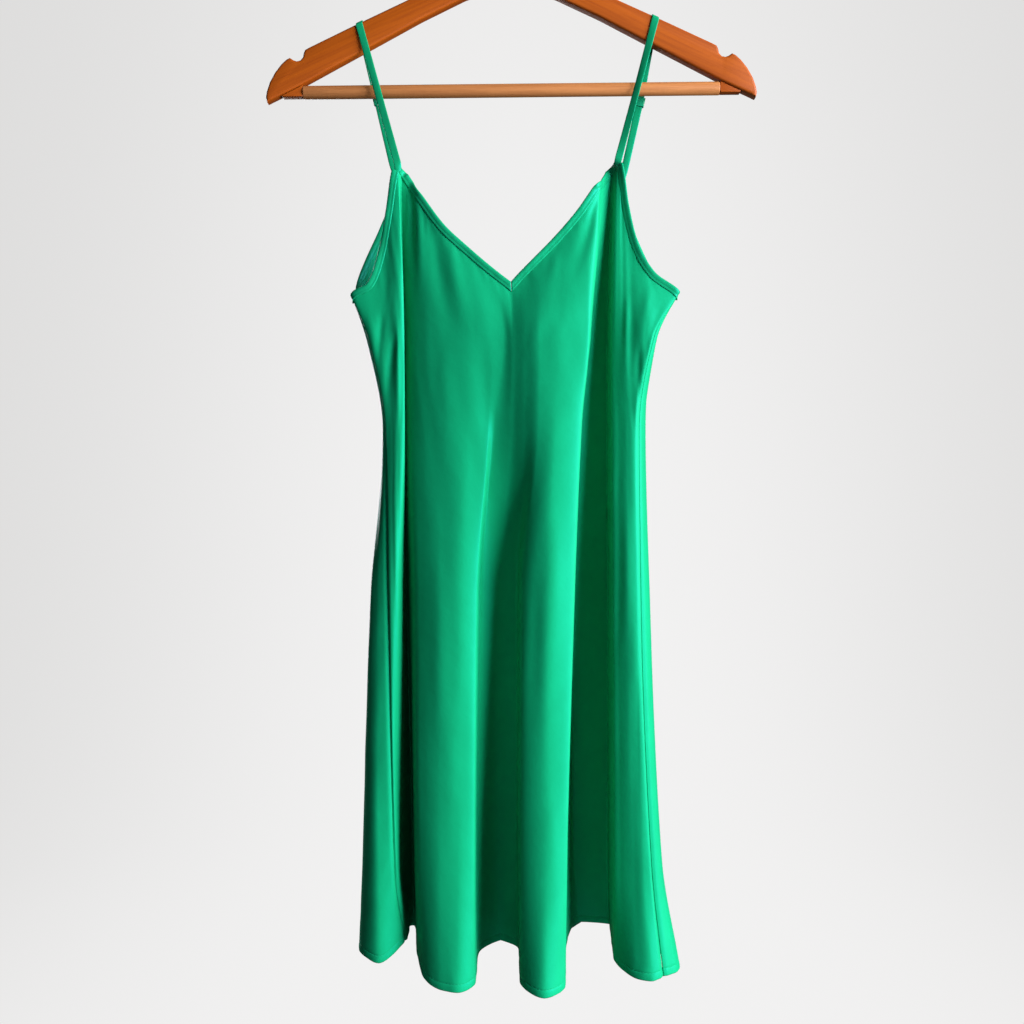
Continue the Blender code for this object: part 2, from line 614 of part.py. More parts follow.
def strap(word, side, crossing, slider_at, ring_at):
    """One strap with its slider, ring and the tab that holds the ring."""
    if side < 0:
        front_ends = (front_arm_left, front_arm_left.total, front_neck_left, 0.0)
        back_ends = (back_arm_left, 0.0, back_neck_left, back_neck_left.total)
    else:
        front_ends = (front_arm_right, 0.0, front_neck_right, front_neck_right.total)
        back_ends = (back_arm_right, back_arm_right.total, back_neck_right, 0.0)
    wide = 0.5 * STRAP_WIDTH
    over = strap_over_arm(side, crossing)
    joint = joint_row(*front_ends)
    foot = joint[1] + (over[0][1] - joint[1]).normalized() * STRAP_FOOT
    front = stretch([foot, over[0][1]], [wide, wide], 12.0)

    centre = Vector((ring_at[0], -ring_at[2], ring_at[1]))
    slider = Vector((slider_at[0], -slider_at[2], slider_at[1]))
    along = (centre - slider).normalized()
    up = Vector((-along.x, 0.0, -along.z)).normalized()
    wire_top = centre + up * RING_RADIUS
    kink = wire_top + (up - BACK * along.y) * KINK
    behind = BACK * 0.5 * LAP
    upper_run = stretch([over[-1][1], slider + behind], [wide, wide], 11.0)
    lower_run = stretch([slider + behind, kink + behind, wire_top + BACK * LOOP_BEND],
                        [wide, wide, GATHERED], RUN_STEP)
    return_run = doubled_back(lower_run)
    rows = [joint] + front[:-1] + over + upper_run[1:] + lower_run[1:] + half_turn(wire_top, -up) + return_run
    ribbon("strap_" + word, rows, STRAP, BIND)
    slider_frame("slider_" + word, slider, along)
    strap_ring("strap_ring_" + word, centre)

    base = joint_row(*back_ends)
    rise = (centre - base[1]).normalized()
    level = Vector((rise.x, 0.0, rise.z)).normalized()
    wire_low = centre - level * RING_RADIUS
    tab_up = stretch([base[1] + rise * TAB_FOOT, wire_low + BACK * LOOP_BEND], [0.8 * wide, GATHERED], 5.0)
    tab_end = wire_low - BACK * (LOOP_BEND - 0.4) - level * TAB_TAIL
    tab_down = stretch([wire_low - BACK * LOOP_BEND, tab_end], [GATHERED, GATHERED], 5.0)
    ribbon("ring_tab_" + word, [base] + tab_up + half_turn(wire_low, level) + tab_down, STRAP, BIND)


for word, sizes in STRAPS.items():
    strap(word, **sizes)
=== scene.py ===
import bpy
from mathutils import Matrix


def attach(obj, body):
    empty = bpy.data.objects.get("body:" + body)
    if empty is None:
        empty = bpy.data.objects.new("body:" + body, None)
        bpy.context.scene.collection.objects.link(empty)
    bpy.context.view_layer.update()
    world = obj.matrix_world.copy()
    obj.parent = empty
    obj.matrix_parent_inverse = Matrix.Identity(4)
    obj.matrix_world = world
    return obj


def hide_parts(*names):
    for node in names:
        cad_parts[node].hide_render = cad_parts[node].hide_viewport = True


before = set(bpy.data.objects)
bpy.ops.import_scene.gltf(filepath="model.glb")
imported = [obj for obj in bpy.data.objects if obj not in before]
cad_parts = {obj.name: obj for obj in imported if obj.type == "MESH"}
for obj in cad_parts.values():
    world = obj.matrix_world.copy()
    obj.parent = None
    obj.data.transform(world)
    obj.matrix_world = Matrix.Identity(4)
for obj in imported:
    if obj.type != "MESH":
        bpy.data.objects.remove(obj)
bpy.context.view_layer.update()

import math

import bmesh
import bpy
import numpy as np
from mathutils import Matrix, Vector

# ------------------------------------------------------------------ hanger arms
# Two flat arms of lacquered beech, sawn to the slope of the shoulders and notched
# near the ends for a strap. They butt together at the middle and hang 0.6 degrees
# out of level, as the dress pulls them. Lengths in the tables are millimetres.
MM = 0.001
HANGER_TILT = math.radians(-0.6)
ARM_THICKNESS = 12.0
ARM_ROUNDING = 2.2
ARM_SLOPE = math.radians(25.0)
ARM_LACQUER = (0.295, 0.060, 0.0008)
ARM_DARK_GRAIN = (0.225, 0.041, 0.0006)
GRAIN_STRETCH = 26.0   # how many times longer than wide a grain line is

# out from the middle along the top, round the notch and the tip, and back along
# the underside: across and height
ARM_OUTLINE = (
    (0.15, -65.5), (16, -67.0), (31, -71.2), (46, -77.3), (88, -96.6), (144, -122.6), (183, -141.2),
    (187, -143.4), (188.3, -146.4), (189.0, -150.2), (191.4, -152.9), (194.6, -153.6), (197.6, -152.6),
    (200.8, -150.4), (204, -152.0), (208.6, -156.2), (214.4, -163.6), (219.4, -172.6), (222.2, -181.0),
    (223, -186.0), (222.0, -190.4), (217.8, -188.3), (210, -184.6), (190.9, -175.4), (136, -146.0),
    (81, -116.4), (42, -97.6), (26, -91.4), (12, -88.2), (0.15, -87.3),
)
# the wedge under each arm's end that the bar stops against
BLOCK_OUTLINE = ((189.9, -175.4), (208.6, -184.5), (207.8, -185.4), (189.9, -185.4))
BLOCK_THICKNESS = 9.0
BLOCK_ROUNDING = 0.4


def placed(name, data):
    """A new object in the scene that shows a mesh, a light or the camera."""
    made = bpy.data.objects.new(name, data)
    bpy.context.scene.collection.objects.link(made)
    return made


def piece(name, form, finish, stands_for=(), smooth_angle=None):
    """Puts a finished bmesh in the scene as one piece of the dress or its hanger."""
    mesh = bpy.data.meshes.new(name)
    form.to_mesh(mesh)
    form.free()
    mesh.shade_smooth()
    if smooth_angle:
        mesh.set_sharp_from_angle(angle=math.radians(smooth_angle))
    mesh.materials.append(finish)
    made = placed(name, mesh)
    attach(made, "root")
    if stands_for:
        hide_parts(*stands_for)
    return made


def hang(form):
    """Leans a bmesh over with the hanger."""
    bmesh.ops.rotate(form, verts=form.verts, cent=(0.0, 0.0, 0.0),
                     matrix=Matrix.Rotation(HANGER_TILT, 3, "Y"))


def rounded(form, edges, radius, segments):
    """Rounds over some edges of a bmesh, radius in millimetres."""
    bmesh.ops.bevel(form, geom=edges, offset=radius * MM, segments=segments, profile=0.5, affect="EDGES",
                    material=-1)


def new_material(name):
    """A new material with its node tree, Principled shader and Object coordinates."""
    made = bpy.data.materials.new(name)
    made.use_nodes = True
    tree = made.node_tree
    places = tree.nodes.new("ShaderNodeTexCoord")
    return made, tree, tree.nodes["Principled BSDF"], places.outputs["Object"]


def add_node(tree, kind, inputs, operation=None):
    """A new shader node, each of its inputs given a value or another node's output."""
    made = tree.nodes.new("ShaderNode" + kind)
    if operation:
        made.operation = operation
    for label, value in inputs.items():
        if isinstance(value, bpy.types.NodeSocket):
            tree.links.new(value, made.inputs[label])
        else:
            made.inputs[label].default_value = value
    return made


def two_tones(tree, factor, dark, light, colour):
    """Leads a mix of two tones, by a factor's output, into a colour input."""
    mix = tree.nodes.new("ShaderNodeMix")
    mix.data_type = "RGBA"
    mix.inputs["A"].default_value = (*dark, 1.0)
    mix.inputs["B"].default_value = (*light, 1.0)
    tree.links.new(factor, mix.inputs["Factor"])
    tree.links.new(mix.outputs["Result"], colour)


def new_group(name, inputs, outputs):
    """A shader node group with named inputs (type and value) and outputs."""
    group = bpy.data.node_groups.new(name, "ShaderNodeTree")
    for label, kind, value in inputs:
        made = group.interface.new_socket(label, in_out="INPUT", socket_type="NodeSocket" + kind)
        if value is not None:
            made.default_value = value
    for label, kind in outputs:
        group.interface.new_socket(label, in_out="OUTPUT", socket_type="NodeSocket" + kind)
    return group, group.nodes.new("NodeGroupInput"), group.nodes.new("NodeGroupOutput")


def wood_grain():
    """Group: long grain lines and pores along X, as a shade and a relief."""
    tree, inward, outward = new_group(
        "wood_grain",
        [("Vector", "Vector", None), ("Line Width", "Float", 0.0016)],
        [("Shade", "Float"), ("Relief", "Float")])
    per_metre = add_node(tree, "Math", {0: 1.0, 1: inward.outputs["Line Width"]}, "DIVIDE").outputs[0]
    along = add_node(tree, "Math", {0: per_metre, 1: GRAIN_STRETCH}, "DIVIDE").outputs[0]
    sizes = add_node(tree, "CombineXYZ", {"X": along, "Y": per_metre, "Z": per_metre})
    grown = add_node(tree, "VectorMath", {0: inward.outputs["Vector"], 1: sizes.outputs[0]}, "MULTIPLY")
    lines = add_node(tree, "TexNoise", {"Scale": 1.0, "Detail": 4.0, "Distortion": 0.6,
                                        "Vector": grown.outputs[0]})
    bands = add_node(tree, "TexNoise", {"Scale": 0.22, "Detail": 2.0, "Vector": grown.outputs[0]})
    blend = add_node(tree, "Math", {0: lines.outputs["Fac"], 1: bands.outputs["Fac"]}, "ADD")
    shade = add_node(tree, "MapRange", {"From Min": 0.78, "From Max": 1.24, "Value": blend.outputs[0]})
    tree.links.new(shade.outputs["Result"], outward.inputs["Shade"])
    tree.links.new(lines.outputs["Fac"], outward.inputs["Relief"])
    return tree


WOOD_GRAIN = wood_grain()


def wood(name, turn, light, dark, line_width, roughness, coat, relief):
    """Material: grained wood under lacquer, its grain along X before the turn about Y."""
    made, tree, shader, places = new_material(name)
    turned = add_node(tree, "Mapping", {"Rotation": (0.0, turn, 0.0), "Vector": places})
    grain = tree.nodes.new("ShaderNodeGroup")
    grain.node_tree = WOOD_GRAIN
    grain.inputs["Line Width"].default_value = line_width
    tree.links.new(turned.outputs[0], grain.inputs["Vector"])
    two_tones(tree, grain.outputs["Shade"], dark, light, shader.inputs["Base Color"])
    bump = add_node(tree, "Bump", {"Strength": relief, "Distance": 0.0003,
                                   "Height": grain.outputs["Relief"]})
    tree.links.new(bump.outputs["Normal"], shader.inputs["Normal"])
    shader.inputs["Roughness"].default_value = roughness
    shader.inputs["Coat Weight"].default_value = coat
    shader.inputs["Coat Roughness"].default_value = 0.18
    shader.inputs["Specular IOR Level"].default_value = 0.22
    return made


def board(name, side, outline, thickness, rounding, lacquer, node):
    """A piece of wood sawn to an outline and rounded over, on one side of the hanger."""
    form = bmesh.new()
    corners = [form.verts.new((side * across * MM, -0.5 * thickness * MM, height * MM))
               for across, height in outline]
    face = form.faces.new(corners)
    made = bmesh.ops.extrude_face_region(form, geom=[face])["geom"]
    far_side = [corner for corner in made if isinstance(corner, bmesh.types.BMVert)]
    bmesh.ops.translate(form, verts=far_side, vec=(0.0, thickness * MM, 0.0))
    rims = []
    for edge in form.edges:
        one, two = (corner.co for corner in edge.verts)
        on_a_face = abs(one.y - two.y) < 0.1 * MM
        at_the_middle = abs(one.x) + abs(two.x) <= 0.4 * MM
        if on_a_face and not at_the_middle:
            rims.append(edge)
    rounded(form, rims, rounding, segments=4)
    bmesh.ops.recalc_face_normals(form, faces=form.faces)
    hang(form)
    return piece(name, form, lacquer, [node], smooth_angle=32)


for side, word in ((-1, "left"), (1, "right")):
    lacquer = wood("arm_lacquer_" + word, -side * ARM_SLOPE, ARM_LACQUER, ARM_DARK_GRAIN,
                   line_width=0.0021, roughness=0.50, coat=0.06, relief=0.20)
    board("beech_arm_" + word, side, ARM_OUTLINE, ARM_THICKNESS, ARM_ROUNDING, lacquer, "hanger_arm_" + word)
    board("beech_block_" + word, side, BLOCK_OUTLINE, BLOCK_THICKNESS, BLOCK_ROUNDING, lacquer,
          "bar_block_" + word)

# ------------------------------------------------------------------ trouser bar
# A turned pale bar between the arms' end blocks, thinly lacquered, with slightly
# eased ends.
BAR_RADIUS = 6.0
BAR_HALF_LENGTH = 189.6
BAR_HEIGHT = -180.8
BAR_EASED = 0.8
BAR_PALE = (0.40, 0.160, 0.053)
BAR_GRAIN = (0.31, 0.115, 0.036)

bar_form = bmesh.new()
bmesh.ops.create_cone(bar_form, cap_ends=True, segments=48, radius1=BAR_RADIUS * MM, radius2=BAR_RADIUS * MM,
                      depth=2 * BAR_HALF_LENGTH * MM, matrix=Matrix.Rotation(math.pi / 2, 4, "Y"))
bar_rims = [edge for edge in bar_form.edges if abs(edge.verts[0].co.x - edge.verts[1].co.x) < 0.1 * MM]
rounded(bar_form, bar_rims, BAR_EASED, segments=3)
bmesh.ops.translate(bar_form, verts=bar_form.verts, vec=(0.0, 0.0, BAR_HEIGHT * MM))
hang(bar_form)
bar_finish = wood("bar_lacquer", 0.0, BAR_PALE, BAR_GRAIN,
                  line_width=0.0011, roughness=0.50, coat=0.06, relief=0.30)
piece("turned_bar", bar_form, bar_finish, ["trouser_bar"], smooth_angle=40)

# ------------------------------------------------------------------ hook and ferrule
# A bright plated steel wire, bent round a 44 mm former and left round at its tip. Its
# stem stands in a small turned ferrule on the top of the arms.
HOOK_WIRE = 1.75
HOOK_RADIUS = 22.0
HOOK_FROM, HOOK_SWEEP = -48, 243      # degrees round the inner circle
FERRULE_RADIUS = 4.5
FERRULE_TOP = -57.5
FERRULE_FOOT = -65.2
PLATED = (0.72, 0.72, 0.74)


def plated(name, roughness):
    """Material: bright nickel with fine polishing haze."""
    made, tree, shader, places = new_material(name)
    haze = add_node(tree, "TexNoise", {"Scale": 900.0, "Detail": 3.0, "Vector": places})
    spread = add_node(tree, "MapRange", {"To Min": roughness - 0.06, "To Max": roughness + 0.08,
                                         "Value": haze.outputs["Fac"]})
    tree.links.new(spread.outputs["Result"], shader.inputs["Roughness"])
    shader.inputs["Base Color"].default_value = (*PLATED, 1.0)
    shader.inputs["Metallic"].default_value = 1.0
    return made


NICKEL = plated("plated_steel_finish", roughness=0.22)


def tube_along(form, points, radius, sides):
    """Sweeps a round wire through points in the plane of the hanger, and rounds its tip."""
    count = len(points)
    frames = []
    for k in range(count):
        ahead, behind = points[min(k + 1, count - 1)], points[max(k - 1, 0)]
        along = (ahead - behind).normalized()
        turn = Matrix((along.cross(Vector((0, 1, 0))), Vector((0, 1, 0)), along)).transposed().to_4x4()
        frames.append((Matrix.Translation(points[k]) @ turn, radius))
    tip, along = points[-1], (points[-1] - points[-2]).normalized()
    turn = frames[-1][0].to_3x3().to_4x4()
    for step in (30, 55, 75):
        reach, thin = math.sin(math.radians(step)), math.cos(math.radians(step))
        frames.append((Matrix.Translation(tip + along * radius * reach) @ turn, radius * thin))
    circle = bmesh.ops.create_circle(form, cap_ends=True, segments=sides, radius=1.0)["verts"]
    outline = [corner.co.copy() for corner in circle]
    edges = list({edge for corner in circle for edge in corner.link_edges})
    for corner, flat in zip(circle, outline):
        corner.co = frames[0][0] @ (flat * frames[0][1])
    for place, size in frames[1:]:
        made = bmesh.ops.extrude_edge_only(form, edges=edges)["geom"]
        rim = [corner for corner in made if isinstance(corner, bmesh.types.BMVert)]
        edges = [edge for edge in made if isinstance(edge, bmesh.types.BMEdge)]
        for corner, flat in zip(rim, outline):
            corner.co = place @ (flat * size)
    bmesh.ops.contextual_create(form, geom=edges)
    bmesh.ops.recalc_face_normals(form, faces=form.faces)


def revolve(form, steps, outline=()):
    """Spins what a bmesh holds, with an outline in metres, once round its Z axis."""
    points = [form.verts.new((across, 0.0, height)) for across, height in outline]
    for pair in zip(points, points[1:]):
        form.edges.new(pair)
    bmesh.ops.spin(form, geom=form.verts[:] + form.edges[:], cent=(0, 0, 0), axis=(0, 0, 1), dvec=(0, 0, 0),
                   angle=math.tau, steps=steps, use_merge=True)
    bmesh.ops.remove_doubles(form, verts=form.verts, dist=0.01 * MM)
    bmesh.ops.recalc_face_normals(form, faces=form.faces)


def hook_line():
    """Stem, sweep to the right, then most of a circle round the inner top."""
    radius = HOOK_RADIUS + HOOK_WIRE
    points = [(0.0, FERRULE_TOP + 0.3), (0.0, FERRULE_TOP + 3.0), (0.25, FERRULE_TOP + 5.6),
              (1.6, FERRULE_TOP + 9.0), (4.0, FERRULE_TOP + 11.7), (7.0, FERRULE_TOP + 13.8)]
    turns = 54
    for k in range(turns + 1):
        angle = math.radians(HOOK_FROM + HOOK_SWEEP * k / turns)
        points.append((radius * math.cos(angle), -HOOK_RADIUS + radius * math.sin(angle)))
    return [Vector((across, 0.0, height)) * MM for across, height in points]


hook_form = bmesh.new()
tube_along(hook_form, hook_line(), HOOK_WIRE * MM, sides=16)
hang(hook_form)
piece("wire_hook", hook_form, NICKEL, ["hook"], smooth_angle=60)

ferrule_form = bmesh.new()
FERRULE_PROFILE = ((0.0, FERRULE_FOOT), (FERRULE_RADIUS, FERRULE_FOOT), (FERRULE_RADIUS, -64.2),
                   (FERRULE_RADIUS - 0.5, -63.6), (FERRULE_RADIUS - 0.8, -60.4), (3.2, -58.4),
                   (2.6, FERRULE_TOP), (0.0, FERRULE_TOP))
revolve(ferrule_form, 32, [(across * MM, height * MM) for across, height in FERRULE_PROFILE])
hang(ferrule_form)
piece("turned_ferrule", ferrule_form, NICKEL, ["hook_ferrule"], smooth_angle=35)

# ------------------------------------------------------------------ front and back panels
# Bias-cut satin, one panel in front and one behind, hanging in the folds of the table.
# Each panel's lower edge is turned up inside by 7 mm, and its sides meet in the seams.
CLOTH = 0.5
UNDERARM, WAIST, HIP, KNEE = -410, -490, -640, -880
COLUMN_WIDTH = 2.9
SEAM_HALF_GAP = 0.3
SEAM_SINK, SEAM_REACH = 1.5, 2.2
HEM_TURN = 7.0
HEM_STITCH_AT = 6.0
HEM_LAYER = 1.0
EDGE_CALM, SEAM_CALM = 9.0, 12.0      # how near the edges and the seams the creases die out
HEM_FADE = 30.0
PANEL_LENGTH = 650.0   # of a middling fold line, for the spacing of the rows
ROW_HEIGHT = 5.6
ROWS_BELOW_TOP = [0.0, 1.5, 3.2, 5.2, 7.6, 10.5]
ROWS_ABOVE_HEM = [14.0, 11.0, 8.8, 7.4, 6.7, 6.3, 6.0, 5.7, 5.3, 4.4, 3.0, 1.6, 0.7]
SATIN_GREEN = (0.0042, 0.312, 0.136)
SATIN_SHADE = (0.0038, 0.282, 0.121)

# One row for each fold line of the cloth, in order round the dress: across (+X),
# depth towards the front (-Y) and height (+Z). "top" is on the panel's upper edge
# and "hem" on its lower edge; the others are at fixed heights.
#
# columns: name, top across, top height, top depth, underarm across and depth,
# waist across and depth, hip across and depth, knee across and depth,
# hem across, hem height, hem depth
FOLDS = (
    ("seam_l", -141, -376, 11, -127.5, 14, -113, 13, -108.8, 22, -101.2, 31.3, -92.5, -949, 19),
    ("side_0", -140, -373, 14, -126, 16.5, -111.5, 14, -107.5, 22.7, -100.5, 31, -92, -949, 16),
    ("side_a", -124, -364, 16.5, -116, 20, -107.5, 16, -105, 23.6, -99.5, 29.3, -91.5, -948, 11),
    ("side_b", -113, -336.5, 16.5, -106, 20.5, -103, 18.3, -102, 23.8, -98.7, 25, -91.2, -947, 1),
    ("side_c", -106, -300, 18, -99, 23.5, -98, 19.5, -99.2, 22, -98.4, 15, -92, -947, -10),
    ("strap_l", -99.5, -259, 19, -94, 21.5, -94, 17, -97.2, 16, -97.8, 3, -92, -949, -20),
    ("slot_l", -97, -262.5, 13, -96, 3, -95.7, 0, -94, -9, -90, -25, -89, -951, -27),
    ("lobe2_a", -91.5, -271, 13, -89, 12.5, -89, 11, -83.5, 22, -82, 32, -81.5, -960, 26),
    ("lobe2_b", -82.5, -284.5, 18.5, -80, 19, -80, 17.5, -77, 26.5, -75, 39, -75, -973, 42),
    ("lobe2_c", -62, -313, 24, -61, 26, -61, 24.5, -60, 34, -60, 45.5, -60, -979, 54),
    ("lobe2_d", -40, -334, 27, -33, 32, -34, 29.5, -43, 37, -44, 47, -44, -980, 58),
    ("lobe2_e", -23, -349, 29, -17, 34, -19, 28.8, -28.5, 33, -30.5, 42, -29.5, -976, 47),
    ("valley2_a", -12, -358, 30, -5, 34, -13, 26.8, -25.8, 13, -28.8, 13, -28, -963, 14),
    ("vee_front", 2, -369, 31, 3, 37, 1, 31, -9, 5, -11, -4, -8, -957, -5),
    ("valley2_b", 13, -357, 31.3, 14, 42, 13, 37, 8, 11, 8, 3, 8.5, -961, 6),
    ("lobe3_a", 27, -343, 32, 27, 46.5, 26, 43.5, 10.5, 33, 9.5, 46, 9.5, -974, 50),
    ("lobe3_b", 45, -324.5, 32, 46, 48, 41, 46, 34, 45, 32, 58, 30, -980, 70),
    ("lobe3_c", 66, -299.7, 32.5, 69, 46.5, 63.5, 40.5, 57.5, 38, 50, 51, 48.5, -977, 53),
    ("valley3_a", 80, -279, 30, 71.5, 37, 63.8, 25, 57.6, 16, 51, 12, 51, -962, 8),
    ("valley3_b", 84, -273, 18, 72, 10, 64.5, 0, 58.5, -9, 61, -34, 66, -951, -37),
    ("valley3_c", 92.5, -260.5, 11, 89, 3, 89.5, -5, 91, -14, 92.5, -32, 94, -952, -33),
    ("strap_r", 97, -253.5, 17, 91.5, 24, 91.7, 21, 92.5, 24, 93.7, 22, 93.5, -964, 20),
    ("side_d", 101.5, -289.5, 20, 98, 28, 98, 25, 98, 28, 100, 27, 101, -970, 34),
    ("side_e", 110, -328, 24, 107, 31, 105, 28.5, 106, 32, 110, 32, 112, -973, 45),
    ("side_f", 125, -356, 29, 119, 36, 111, 29.7, 112.5, 33, 119, 35, 124, -973.5, 49),
    ("side_g", 147.5, -373.5, 30.5, 126, 37, 115, 27.5, 116.5, 31, 124.5, 34.5, 131.5, -972.5, 46),
    ("seam_r", 149, -376, 27, 129.5, 33, 117, 25, 118, 29, 127, 32.5, 136, -972, 42),
    ("back_0", 147.5, -373, 21, 131.5, 27, 119.5, 19, 122, 24, 131.5, 29, 143, -972, 37),
    ("back_a", 141, -366, 0, 132, 10, 122.5, 8, 126, 12, 135, 24, 149, -972, 31),
    ("back_b", 129.5, -349, -15, 127.5, -12, 125, -10, 128.5, -8, 138, 8, 153, -972, 15),
    ("back_c", 112.5, -312, -20, 119, -25, 121, -25, 127, -28, 136, -28, 148, -961, -28),
    ("tip_r", 101, -281, -21, 104, -35, 106, -39, 110, -48, 118, -66, 121, -964, -74),
    ("lobe5", 83, -295, -23, 85, -34, 85, -37, 86, -50, 88, -77, 89, -964, -90),
    ("valley5", 43, -329, -28, 41, -36, 37, -31, 33, -20, 31, -12, 31, -961, -8),
    ("vee_back", 2, -363, -31, 3, -38, 3, -39, 2, -50, -1, -73, -1, -962, -84),
    ("valley6", -39, -329, -28, -41, -36, -44, -31, -50, -20, -53, -11, -54, -960, -6),
    ("lobe7", -79, -297, -24, -80, -35, -82, -38, -85, -48, -90, -69, -91, -956, -80),
    ("tip_l", -103, -279, -21, -102, -34, -101, -38, -104, -46, -113, -60, -115, -954, -66),
    ("back_d", -118.5, -313, -19, -116, -25, -112, -27, -117, -28, -127, -32, -131, -959, -36),
    ("back_e", -130, -340, -14, -124.5, -14, -114.5, -14, -126, -4, -133, -7, -136.5, -961, -4),
    ("back_f", -137.5, -361.5, -7, -127.5, -4, -115, -4, -125, 10, -131.5, 18, -133, -957, 24),
    ("back_g", -140, -372, 3, -129, 6, -114.7, 5, -119, 17, -116, 33.5, -115, -962, 38),
)
NAMES = [fold[0] for fold in FOLDS]
CORNERS = ("strap_l", "vee_front", "strap_r", "tip_r", "vee_back", "tip_l")
COUNT = len(FOLDS)
SEAM_L, STRAP_L, VEE_FRONT, STRAP_R = (NAMES.index(n) for n in ("seam_l", "strap_l", "vee_front", "strap_r"))
SEAM_R, TIP_R, VEE_BACK, TIP_L = (NAMES.index(n) for n in ("seam_r", "tip_r", "vee_back", "tip_l"))


def slopes(knots, values):
    """Slopes of a cubic through the knots that never swings past them."""
    steps = [knots[i + 1] - knots[i] for i in range(len(knots) - 1)]
    rises = [(values[i + 1] - values[i]) / steps[i] for i in range(len(steps))]
    result = [rises[0]]
    for i in range(1, len(steps)):
        before, after = rises[i - 1], rises[i]
        if before * after <= 0:
            result.append(0.0)
        else:
            near = 2 * steps[i] + steps[i - 1]
            far = steps[i] + 2 * steps[i - 1]
            result.append((near + far) / (near / before + far / after))
    return result + [rises[-1]]


def hermite(start, end, slope_start, slope_end, length, part):
    """Point of the cubic between two knots, part being 0 to 1."""
    square, cube = part * part, part ** 3
    return ((2 * cube - 3 * square + 1) * start + (cube - 2 * square + part) * length * slope_start
            + (3 * square - 2 * cube) * end + (cube - square) * length * slope_end)


def eased(knots, values, at):
    """Value of the smooth cubic through the knots, which run upwards."""
    at = min(max(at, knots[0]), knots[-1])
    i = min(sum(1 for knot in knots if knot <= at), len(knots) - 1) - 1
    grade = slopes(knots, values)
    length = knots[i + 1] - knots[i]
    part = (at - knots[i]) / length
    return hermite(values[i], values[i + 1], grade[i], grade[i + 1], length, part)


def on_fold(fold, drop):
    """(across, depth, height) on one fold line; drop is 0 at its top, 1 at the hem."""
    x_top, z_top, d_top = fold[1:4]
    x_arm, d_arm, x_waist, d_waist, x_hip, d_hip, x_knee, d_knee = fold[4:12]
    x_hem, z_hem, d_hem = fold[12:]
    height = z_top + (z_hem - z_top) * drop
    knots = (z_hem, KNEE, HIP, WAIST, UNDERARM, z_top)
    across = eased(knots, (x_hem, x_knee, x_hip, x_waist, x_arm, x_top), height)
    depth = eased(knots, (d_hem, d_knee, d_hip, d_waist, d_arm, d_top), height)
    return across, depth, height


def ring_slopes(knots, values, corners=()):
    """Slopes before and after each knot of a closed ring; corners stay sharp."""
    turn = knots[-1]
    wide_knots = [knots[-2] - turn] + list(knots) + [knots[1] + turn]
    wide = [values[-2]] + list(values) + [values[1]]
    grade = slopes(wide_knots, wide)[1:-1]
    before, after = list(grade), list(grade)
    for i in corners:
        before[i] = (values[i] - values[i - 1]) / (knots[i] - knots[i - 1])
        after[i] = (values[i + 1] - values[i]) / (knots[i + 1] - knots[i])
    return before, after


class Ring:
    """The closed line of cloth round the dress at one drop below the top edge."""

    def __init__(self, drop):
        points = [on_fold(fold, drop) for fold in FOLDS]
        points.append(points[0])
        self.knots = [0.0]
        for i in range(COUNT):
            self.knots.append(self.knots[-1] + math.dist(points[i], points[i + 1]))
        self.values = list(zip(*points))
        sharp = [NAMES.index(name) for name in CORNERS]
        self.grades = [ring_slopes(self.knots, self.values[0]), ring_slopes(self.knots, self.values[1]),
                       ring_slopes(self.knots, self.values[2], sharp)]

    def at(self, place):
        """Point in millimetres; place counts folds, so 4.5 is halfway from fold 4 to 5."""
        i = min(int(place), COUNT - 1)
        length = self.knots[i + 1] - self.knots[i]
        across, depth, height = (
            hermite(value[i], value[i + 1], grade[1][i], grade[0][i + 1], length, place - i)
            for value, grade in zip(self.values, self.grades))
        return Vector((across, -depth, height))


RINGS = {}


def ring(drop):
    """The ring at a drop, worked out once."""
    if drop not in RINGS:
        RINGS[drop] = Ring(drop)
    return RINGS[drop]


def places_along(first, last, width):
    """Places about one width apart, with one on every fold and more beside the ends."""
    places = []
    for fold in range(first, last):
        at = fold % COUNT
        longest = max(ring(drop).knots[at + 1] - ring(drop).knots[at] for drop in (0.0, 0.5, 1.0))
        steps = max(2, round(longest / width))
        if fold in (first, last - 1):
            steps = max(6, steps)
        places += [at + k / steps for k in range(steps)]
    return places + [float((last - 1) % COUNT + 1)]


def drops_down(length):
    """Drops of the rows: close together at the top edge and about the hem's stitches."""
    start, end = ROWS_BELOW_TOP[-1], length - ROWS_ABOVE_HEM[0]
    steps = round((length - start - ROWS_ABOVE_HEM[0]) / ROW_HEIGHT)
    middle = [start + (end - start) * k / steps for k in range(1, steps)]
    upper = [round(at / length, 6) for at in ROWS_BELOW_TOP + middle]
    return upper + [round(1 - at / length, 6) for at in ROWS_ABOVE_HEM] + [1.0]


